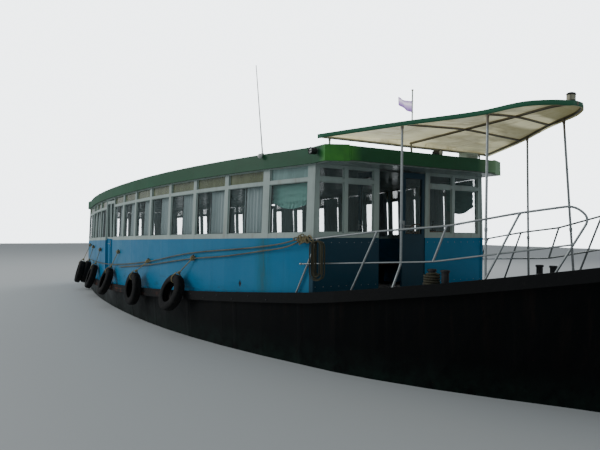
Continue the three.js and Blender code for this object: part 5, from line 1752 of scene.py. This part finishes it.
def ceiling_lines():
    """Lines along the cabin's ceiling and under the visor, as far as the plan reaches at each one."""
    lines = []
    for k in range(-19, 20):
        y = k * 0.125
        inside = [aft / 4 for aft in range(1, 53) if half_breadth(min(aft / 4, LAST_PILLAR)) - 0.14 > abs(y)]
        spans = [(inside[0], min(inside[-1], LAST_PILLAR + 0.9))] if inside else []
        if abs(y) < 1.84:
            spans.append((-0.01, CABIN_FRONT - VISOR_END + max(0, abs(y) - 1.5) * 0.42))
        for span in spans:
            lines.append([Vector((CABIN_FRONT - aft, y, sill_height(aft) + CEILING_RISE)) for aft in span])
    return lines


def bench_lines(side):
    low, high = BENCH["out"]
    lines = []
    for k in range(5):
        line = []
        for i in range(24):
            along = BENCH["from"] + (BENCH["to"] - BENCH["from"]) * i / 23
            height = sheer_height(along) + BENCH["seat"] + 0.005
            line.append(wall_point(along, low + (high - low) * k / 4, height) * Vector((1, -side, 1)))
        lines.append(line)
    return lines


def rail_heads():
    """Two rows of bolt heads along the rub rail."""
    rows = []
    for k in range(2, round(OUTLINE_END / BOLT_STEP) - 1):
        stop = stop_at(k * BOLT_STEP)
        way = Vector((stop["out_x"], stop["out_y"], 0))
        height = sheer_height(stop["aft"]) - (0.030 if k % 2 else 0.085)
        rows.append((Vector((stop["x"], stop["y"], height)) + way * (HULL_EDGE + 0.064), way))
    return rows


def front_heads():
    """Screw heads round the panels of the front wall."""
    return [((FRONT_WALL[1], y0 + (y1 - y0) * k / 8, z), (1, 0, 0))
            for y0, y1 in ((-1.80, -0.64), (0.49, 1.80)) for k in range(9) for z in (1.16, 1.82)]


def make_fascia_beads():
    """Corner beads that close the joints between the front fascia and the boards beside it."""
    beads = Surface()
    for side in (-1, 1):
        for x in (5.917, 5.903):
            beads.tube([(x, side * 1.5565, 3.011), (x, side * 1.5565, 3.226)], 0.016, 10)
    piece("fascia_corner_beads", beads, "green")


def roof_lines():
    """Seams across the crowned roof."""
    lines = []
    for k in range(8):
        aft = 0.2 + 1.6 * k
        half = half_breadth(min(aft, LAST_PILLAR)) - 0.03
        flat = sill_height(aft) + WINDOW_BAND + 0.062
        lines.append([Vector((CABIN_FRONT - aft, share * half, flat + 0.07 * half / 2.56 * (1 - share ** 2)))
                      for share in (-1, -0.5, 0, 0.5, 1)])
    return lines


def make_planks():
    make_fascia_beads()
    strips = strip_tree()
    for name, lines, width, height, finish in (
        ("ceiling_planks", ceiling_lines(), 0.112, 0.008, "ceiling"),
        ("bench_slats_starboard", bench_lines(-1), 0.085, 0.014, "wood"),
        ("bench_slats_port", bench_lines(1), 0.085, 0.014, "wood"),
        ("roof_seams", roof_lines(), 0.05, 0.008, "roof"),
        ("roof_vent_louvres", vent_lines(), 0.016, 0.006, "white trim"),
    ):
        grown(name, line_mesh(name, lines), strips, {"Width": width, "Height": height}, finish)
    studs = stud_tree()
    for name, rows, radius, depth, finish in (
        ("rub_rail_bolts", rail_heads(), 0.014, 0.008, "dark metal"),
        ("front_panel_screws", front_heads(), 0.007, 0.003, "steel"),
    ):
        grown(name, point_mesh(name, rows), studs, {"Radius": radius, "Depth": depth}, finish)


# Small fittings: flag, aerial, lamps, vent, helm, wheel and engine

FLAG = {"x": 5.41, "hoist": 0.097, "fly": -0.215, "low": 3.965, "high": 4.150, "lift": 0.030}


def make_flag():
    """A small plain flag that flies from its staff with its free edge lifted."""
    def place(s, t):
        x = FLAG["x"] + 0.020 * s ** 0.5 * math.sin(2 * math.pi * (1.4 * s + 0.3 * t))
        y = FLAG["hoist"] + (FLAG["fly"] - FLAG["hoist"]) * s * (1 - 0.12 * t)
        fall = (FLAG["high"] - FLAG["low"]) * t * (1 - 0.30 * s)
        return x, y, FLAG["high"] - fall + FLAG["lift"] * s - 0.018 * math.sin(math.pi * s)

    surface = Surface()
    surface.cloth(12, 24, place)
    made = piece("flag_cloth", surface, "flag", level=1)
    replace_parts(made, "flag")


def pin(surface, place, way, radius, half):
    """A short round pin, centred on its place."""
    surface.lathe([(0, -half), (radius, -half), (radius, half), (0, half)], place, way, 12)


def make_lamps():
    """Lenses, bezels and guards of the fascia lamps, and the lantern on the canopy's nose."""
    metal, lens, body = Surface(), Surface(), Surface()
    dome = [(0, 0.014), (0.018, 0.012), (0.034, 0.007), (0.043, 0.0), (0.043, -0.004), (0, -0.004)]
    bezel = [(0.040, -0.006), (0.053, -0.010), (0.055, 0.004), (0.047, 0.009), (0.043, 0.004)]
    for place, way in (((5.753, 0.42, 3.29), (1, 0, 0)), ((5.56, -2.013, 3.15), (0, -1, 0))):
        lens.lathe(dome, place, way)
        metal.lathe(bezel, place, way, closed=True)
    for angle in (0, 60, 120):
        turn = Matrix.Rotation(math.radians(angle), 3, "Y")
        bar = [(-0.050, -2.010, 0), (-0.036, -2.036, 0), (0.036, -2.036, 0), (0.050, -2.010, 0)]
        metal.tube(bent_line([Vector((5.56, 0, 3.15)) + turn @ Vector(p) for p in bar], 0.02), 0.003, 6)
    yoke = [(5.68, 0.362, 3.29), (5.68, 0.362, 3.225), (5.68, 0.478, 3.225), (5.68, 0.478, 3.29)]
    metal.tube(bent_line(yoke, 0.02), 0.007, 8)
    low, high = (Vector(corner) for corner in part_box("canopy_lamp"))
    foot = Vector(((low.x + high.x) / 2, (low.y + high.y) / 2, low.z))
    cap = high.z - low.z
    metal.lathe([(0, 0), (0.054, 0), (0.054, 0.012), (0.050, 0.018), (0, 0.018)], foot, UP, 28)
    metal.lathe([(0, cap - 0.034), (0.058, cap - 0.034), (0.062, cap - 0.028), (0.050, cap - 0.010),
                 (0.020, cap), (0, cap)], foot, UP, 28)
    ribs = [(0.049 + 0.002 * (i % 2), 0.018 + (cap - 0.052) * i / 8) for i in range(9)]
    body.lathe([(0, 0.018), *ribs, (0, cap - 0.034)], foot, UP, 28)
    piece("canopy_lamp_body", body, "lamp body")
    for way in round_ways(4, ALONG, ACROSS, 0.5):
        metal.tube([foot + way * 0.053 + upward(height) for height in (0.01, cap - 0.03)], 0.003, 6)
    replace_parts(piece("lamp_cases", metal, "dark metal"), "canopy_lamp")
    piece("lamp_lenses", lens, "lens")


def make_aerial():
    """The whip aerial with its base, its ball on the fascia, and the truck and rings of the flagstaff."""
    low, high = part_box("antenna")
    x, y = 4.20, (low[1] + high[1]) / 2
    foot = Vector((x, y, low[2]))
    tip = Vector((x - 0.25, y, high[2] - 0.004))
    surface = Surface()
    socket = [(0, 0), (0.026, 0), (0.026, 0.11), (0.018, 0.13), (0.018, 0.15), (0.030, 0.165),
              (0.034, 0.19), (0.026, 0.215), (0.012, 0.225), (0, 0.225)]
    surface.lathe(socket, foot, UP, 20)
    base = foot + upward(0.2)
    surface.tube([base, base.lerp(tip, 0.35), tip], [0.012, 0.010, 0.007], 10)
    surface.box(foot + Vector((-0.05, -0.075, 0.0)), foot + Vector((0.05, 0.03, 0.012)))
    end = stop_at(CABIN_FRONT - 4.38)
    ball = Vector((4.38, end["y"] + end["out_y"] * 0.075, 3.17))
    ball_section = [(0, -0.040), (0.022, -0.033), (0.036, -0.015), (0.040, 0.0), (0.036, 0.015),
                    (0.022, 0.033), (0, 0.040)]
    surface.lathe(ball_section, ball, UP, 18)
    arm = [ball, ball + Vector((-0.05, 0, 0.03)), foot + Vector((0.03, 0, 0.006))]
    surface.tube(bent_line(arm, 0.02), 0.009, 10)
    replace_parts(piece("aerial", surface, "white trim"), "antenna")
    staff = Surface()
    truck = [(0, 0.0), (0.012, 0.0), (0.020, 0.010), (0.018, 0.022), (0, 0.030)]
    staff.lathe(truck, (5.41, 0.11, 4.32), UP, 16)
    ring = [(0.011, -0.006), (0.016, -0.006), (0.016, 0.006), (0.011, 0.006)]
    for height in (3.97, 4.155):
        staff.lathe(ring, (5.41, 0.11, height), UP, 16, closed=True)
    piece("flagstaff_truck", staff, "white trim")


WHEEL = {"place": Vector((4.71, 0.925, 1.8565)), "radius": 0.27, "spokes": 6}


def make_helm():
    """The wheel with its turned spokes and hub, and the gauges and lever of the stand."""
    rim, hub, cases, faces = Surface(), Surface(), Surface(), Surface()
    ahead = (1, 0, 0)
    section = [(WHEEL["radius"] + out.x, out.y) for out in round_ways(10, ALONG * 0.015, ACROSS * 0.012)]
    rim.lathe(section, WHEEL["place"], ahead, 72, closed=True)
    turned = [(0, 0.035), (0.012, 0.04), (0.009, 0.09), (0.013, 0.13), (0.016, 0.16), (0.011, 0.20),
              (0.009, 0.24), (0.012, 0.262), (0, 0.262)]
    for way in round_ways(WHEEL["spokes"], ACROSS, upward(1)):
        rim.lathe(turned, WHEEL["place"], way, 12)
    hub.lathe([(0, -0.030), (0.030, -0.028), (0.050, -0.018), (0.052, 0.010), (0.028, 0.022), (0.028, 0.094),
               (0, 0.094)], WHEEL["place"], ahead, 28)
    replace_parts(piece("helm_wheel", rim, "wood", "wheel"), "steering_wheel")
    piece("helm_wheel_hub", hub, "bronze", "wheel")
    for y in (0.635, 1.215):
        for z, size in ((1.93, 0.042), (1.81, 0.034)):
            place = (4.812, y, z)
            case = [(size * 0.9, 0.0), (size * 1.15, 0.002), (size * 1.15, 0.016), (size * 0.95, 0.020)]
            cases.lathe(case, place, (-1, 0, 0), closed=True)
            face = [(0, 0.010), (size * 0.95, 0.010), (size * 0.95, 0.006), (0, 0.006)]
            faces.lathe(face, place, (-1, 0, 0))
            cases.box((4.799, y - 0.002, z), (4.801, y + 0.002, z + size * 0.7))
    lever = [(4.86, 1.16, 2.0), (4.86, 1.16, 2.09), (4.88, 1.16, 2.17)]
    cases.tube(lever, 0.007, 10)
    knob = [(0, -0.02), (0.014, -0.012), (0.017, 0.0), (0.014, 0.012), (0, 0.02)]
    cases.lathe(knob, lever[-1], (0.2, 0, 1), 14)
    cases.box((4.83, 1.12, 2.0), (4.91, 1.20, 2.03))
    piece("helm_gauge_cases", cases, "dark metal")
    piece("helm_gauge_faces", faces, "lens")


def vent_lines():
    """Louvres on the front of the roof vent."""
    return [[Vector((5.756, y, 3.215 + 0.027 * k)) for y in (1.075, 1.305)] for k in range(5)]


def make_engine_top():
    """Rocker covers, studs and pipes on the engine, and the lid's grab handle and hinges."""
    cover, pipes, handle = Surface(), Surface(), Surface()
    stud = [(0, 0), (0.012, 0), (0.012, 0.010), (0.007, 0.016), (0, 0.016)]
    for y in (-0.16, 0.16):
        cover.box((-1.92, y - 0.085, -0.062), (-1.02, y + 0.085, -0.022))
        for k in range(6):
            pipes.lathe(stud, (-1.86 + k * 0.156, y, -0.022), UP, 8)
    for k in range(4):
        x = -1.80 + k * 0.2
        pipe = [(x, -0.075, -0.05), (x, -0.04, -0.012), (x + 0.05, 0.04, -0.012), (x + 0.05, 0.075, -0.05)]
        pipes.tube(bent_line(pipe, 0.02), 0.009, 8)
    piece("engine_rocker_covers", cover, "engine", bevel=0.012)
    piece("engine_pipes", pipes, "bronze")
    grip = [(-1.55, -0.41, 1.018), (-1.55, -0.41, 1.052), (-1.39, -0.41, 1.052), (-1.39, -0.41, 1.018)]
    handle.tube(bent_line(grip, 0.02), 0.008, 10)
    for x in (-2.0, -0.94):
        pin(handle, (x, 0.455, 0.9841), (1, 0, 0), 0.011, 0.06)
    piece("casing_lid_fittings", handle, "steel", "casing_lid")


# Settings

def colour_setting(name, description, default, brightest=1):
    return FloatVectorProperty(
        name=name, description=description, subtype="COLOR", size=3, min=0, max=brightest, default=default)


def length_setting(name, description, default, low, high):
    return FloatProperty(
        name=name, description=description, default=default, min=low, max=high, unit="LENGTH")


class FERRY_PG_paint(bpy.types.PropertyGroup):
    """Colours of the main finishes."""

    hull: colour_setting("Hull", "Paint below the rub rail", shade(5, 7, 8))
    topside: colour_setting("Topside", "Paint of the cabin's lower wall", shade(20, 118, 162))
    # The front colour is partly navy paint, partly painted shade from the canopy.
    front: colour_setting("Front wall", "Paint of the front wall's panels and doors", shade(28, 68, 86))
    frames: colour_setting("Frames", "Paint of the pillars and window frames", shade(170, 186, 180))
    roof_edge: colour_setting("Roof edge", "Paint of the boards round the roof", shade(26, 82, 52))
    # The canvas colour also sets the canopy's painted backlight glow.
    canvas: colour_setting("Canvas", "Cloth of the foredeck canopy", shade(232, 228, 198))


class FERRY_PG_sizes(bpy.types.PropertyGroup):
    """Sizes of the pieces that a user would change."""

    rope: length_setting("Wall rope", "Diameter of the two ropes along the wall", 0.024, 0.01, 0.03)
    hank_rope: length_setting("Hanked rope", "Diameter of the rope on the rail", 0.016, 0.01, 0.022)
    canopy_sag: length_setting("Canopy sag", "How far the canvas sinks between its tubes", 0.025, 0.0, 0.06)
    curtain_share: FloatProperty(
        name="Curtain share", description="Part of each window that its curtain covers",
        default=0.62, min=0.1, max=1.0, subtype="FACTOR")
    pleats: IntProperty(
        name="Pleats", description="Folds in each curtain", default=8, min=3, max=20)


class FERRY_PG_stage(bpy.types.PropertyGroup):
    """Floor, sky and lights."""

    floor: colour_setting("Floor", "Colour of the floor", (0.50, 0.53, 0.53))
    sky: colour_setting("Sky", "Colour of the light from all round", (0.90, 0.95, 1.0))
    backdrop: colour_setting("Backdrop", "Colour seen behind the boat", (4.1, 4.35, 4.5), 20)
    sky_strength: FloatProperty(
        name="Sky strength", description="Strength of the light from all round", default=0.46, min=0, max=5)
    key_power: FloatProperty(
        name="Key power", description="Power of the large soft lamp",
        default=3700, min=0, max=50000, unit="POWER")


# Operators: one for each piece or group of like pieces, and one for the stage

class Builder:
    """Runs the make function of an operator on the scene."""

    def execute(self, context):
        self.make(context.scene)
        return {"FINISHED"}


class FERRY_OT_stage(Builder, bpy.types.Operator):
    """Makes the camera, the lights and the floor"""

    bl_idname = "ferry.stage"
    bl_label = "Stage"

    def make(self, scene):
        make_stage(scene.ferry_stage)


class FERRY_OT_finishes(Builder, bpy.types.Operator):
    """Makes the materials and gives them to the solid parts"""

    bl_idname = "ferry.finishes"
    bl_label = "Finishes"

    def make(self, scene):
        make_materials(scene.ferry_paint)
        finish_nodes()


class FERRY_OT_ropes(Builder, bpy.types.Operator):
    """Makes the two ropes along the wall and the rope hanked on the rail"""

    bl_idname = "ferry.ropes"
    bl_label = "Ropes"

    def make(self, scene):
        make_ropes(scene.ferry_sizes)


class FERRY_OT_tubes(Builder, bpy.types.Operator):
    """Makes the canopy's tube frame and the foredeck rails"""

    bl_idname = "ferry.tubes"
    bl_label = "Tubes and rails"

    def make(self, scene):
        make_canopy_frame()
        make_rail(-1, "starboard")
        make_rail(1, "port")


class FERRY_OT_canopy(Builder, bpy.types.Operator):
    """Makes the canopy's cloth and its green edge"""

    bl_idname = "ferry.canopy"
    bl_label = "Canopy"

    def make(self, scene):
        make_canopy(scene.ferry_sizes)


class FERRY_OT_fenders(Builder, bpy.types.Operator):
    """Makes the tyres hung as fenders, with their lanyards and hooks"""

    bl_idname = "ferry.fenders"
    bl_label = "Tyre fenders"

    def make(self, scene):
        for row in TYRES:
            make_tyre(row)
        make_lanyards()


class FERRY_OT_windows(Builder, bpy.types.Operator):
    """Makes the window panes and sashes"""

    bl_idname = "ferry.windows"
    bl_label = "Windows"

    def make(self, scene):
        for run in RUNS:
            make_side_windows(run)
        make_front_windows()


class FERRY_OT_curtains(Builder, bpy.types.Operator):
    """Makes the curtains behind the side windows"""

    bl_idname = "ferry.curtains"
    bl_label = "Curtains"

    def make(self, scene):
        make_curtains(scene.ferry_sizes)


class FERRY_OT_doors(Builder, bpy.types.Operator):
    """Makes the panes, trim, curtains and furniture of the doors"""

    bl_idname = "ferry.doors"
    bl_label = "Doors"

    def make(self, scene):
        for leaf in door_leaves():
            make_leaf(leaf)


class FERRY_OT_mooring(Builder, bpy.types.Operator):
    """Makes the rope turns on the starboard bitt and the rims of all bitts"""

    bl_idname = "ferry.mooring"
    bl_label = "Bitts"

    def make(self, scene):
        make_mooring()


class FERRY_OT_planks(Builder, bpy.types.Operator):
    """Lays the ceiling planks, bench slats, seams, louvres, bolts and screws"""

    bl_idname = "ferry.planks"
    bl_label = "Planks and bolts"

    def make(self, scene):
        make_planks()


class FERRY_OT_fittings(Builder, bpy.types.Operator):
    """Makes the flag, aerial, lamps, helm and engine fittings"""

    bl_idname = "ferry.fittings"
    bl_label = "Small fittings"

    def make(self, scene):
        make_flag()
        make_lamps()
        make_aerial()
        make_helm()
        make_engine_top()


OPERATORS = (
    FERRY_OT_stage,
    FERRY_OT_finishes,
    FERRY_OT_ropes,
    FERRY_OT_tubes,
    FERRY_OT_canopy,
    FERRY_OT_fenders,
    FERRY_OT_windows,
    FERRY_OT_curtains,
    FERRY_OT_doors,
    FERRY_OT_mooring,
    FERRY_OT_planks,
    FERRY_OT_fittings,
)


class FERRY_PT_sidebar(bpy.types.Panel):
    """Lists the settings and the operators"""

    bl_label = "Passenger Ferry"
    bl_idname = "FERRY_PT_sidebar"
    bl_space_type = "VIEW_3D"
    bl_region_type = "UI"
    bl_category = "Ferry"

    def draw(self, context):
        layout = self.layout
        for group in (context.scene.ferry_paint, context.scene.ferry_sizes, context.scene.ferry_stage):
            column = layout.column(align=True)
            for name in group.__annotations__:
                column.prop(group, name)
        for operator in OPERATORS:
            layout.operator(operator.bl_idname)


GROUPS = {
    "ferry_paint": FERRY_PG_paint,
    "ferry_sizes": FERRY_PG_sizes,
    "ferry_stage": FERRY_PG_stage,
}


def register():
    for made in (*GROUPS.values(), *OPERATORS, FERRY_PT_sidebar):
        bpy.utils.register_class(made)
    for name, group in GROUPS.items():
        setattr(bpy.types.Scene, name, PointerProperty(type=group))


def unregister():
    for name in GROUPS:
        delattr(bpy.types.Scene, name)
    for made in reversed((*GROUPS.values(), *OPERATORS, FERRY_PT_sidebar)):
        bpy.utils.unregister_class(made)


def main():
    register()
    for operator in OPERATORS:
        group, name = operator.bl_idname.split(".")
        getattr(getattr(bpy.ops, group), name)()


if __name__ == "__main__":
    main()
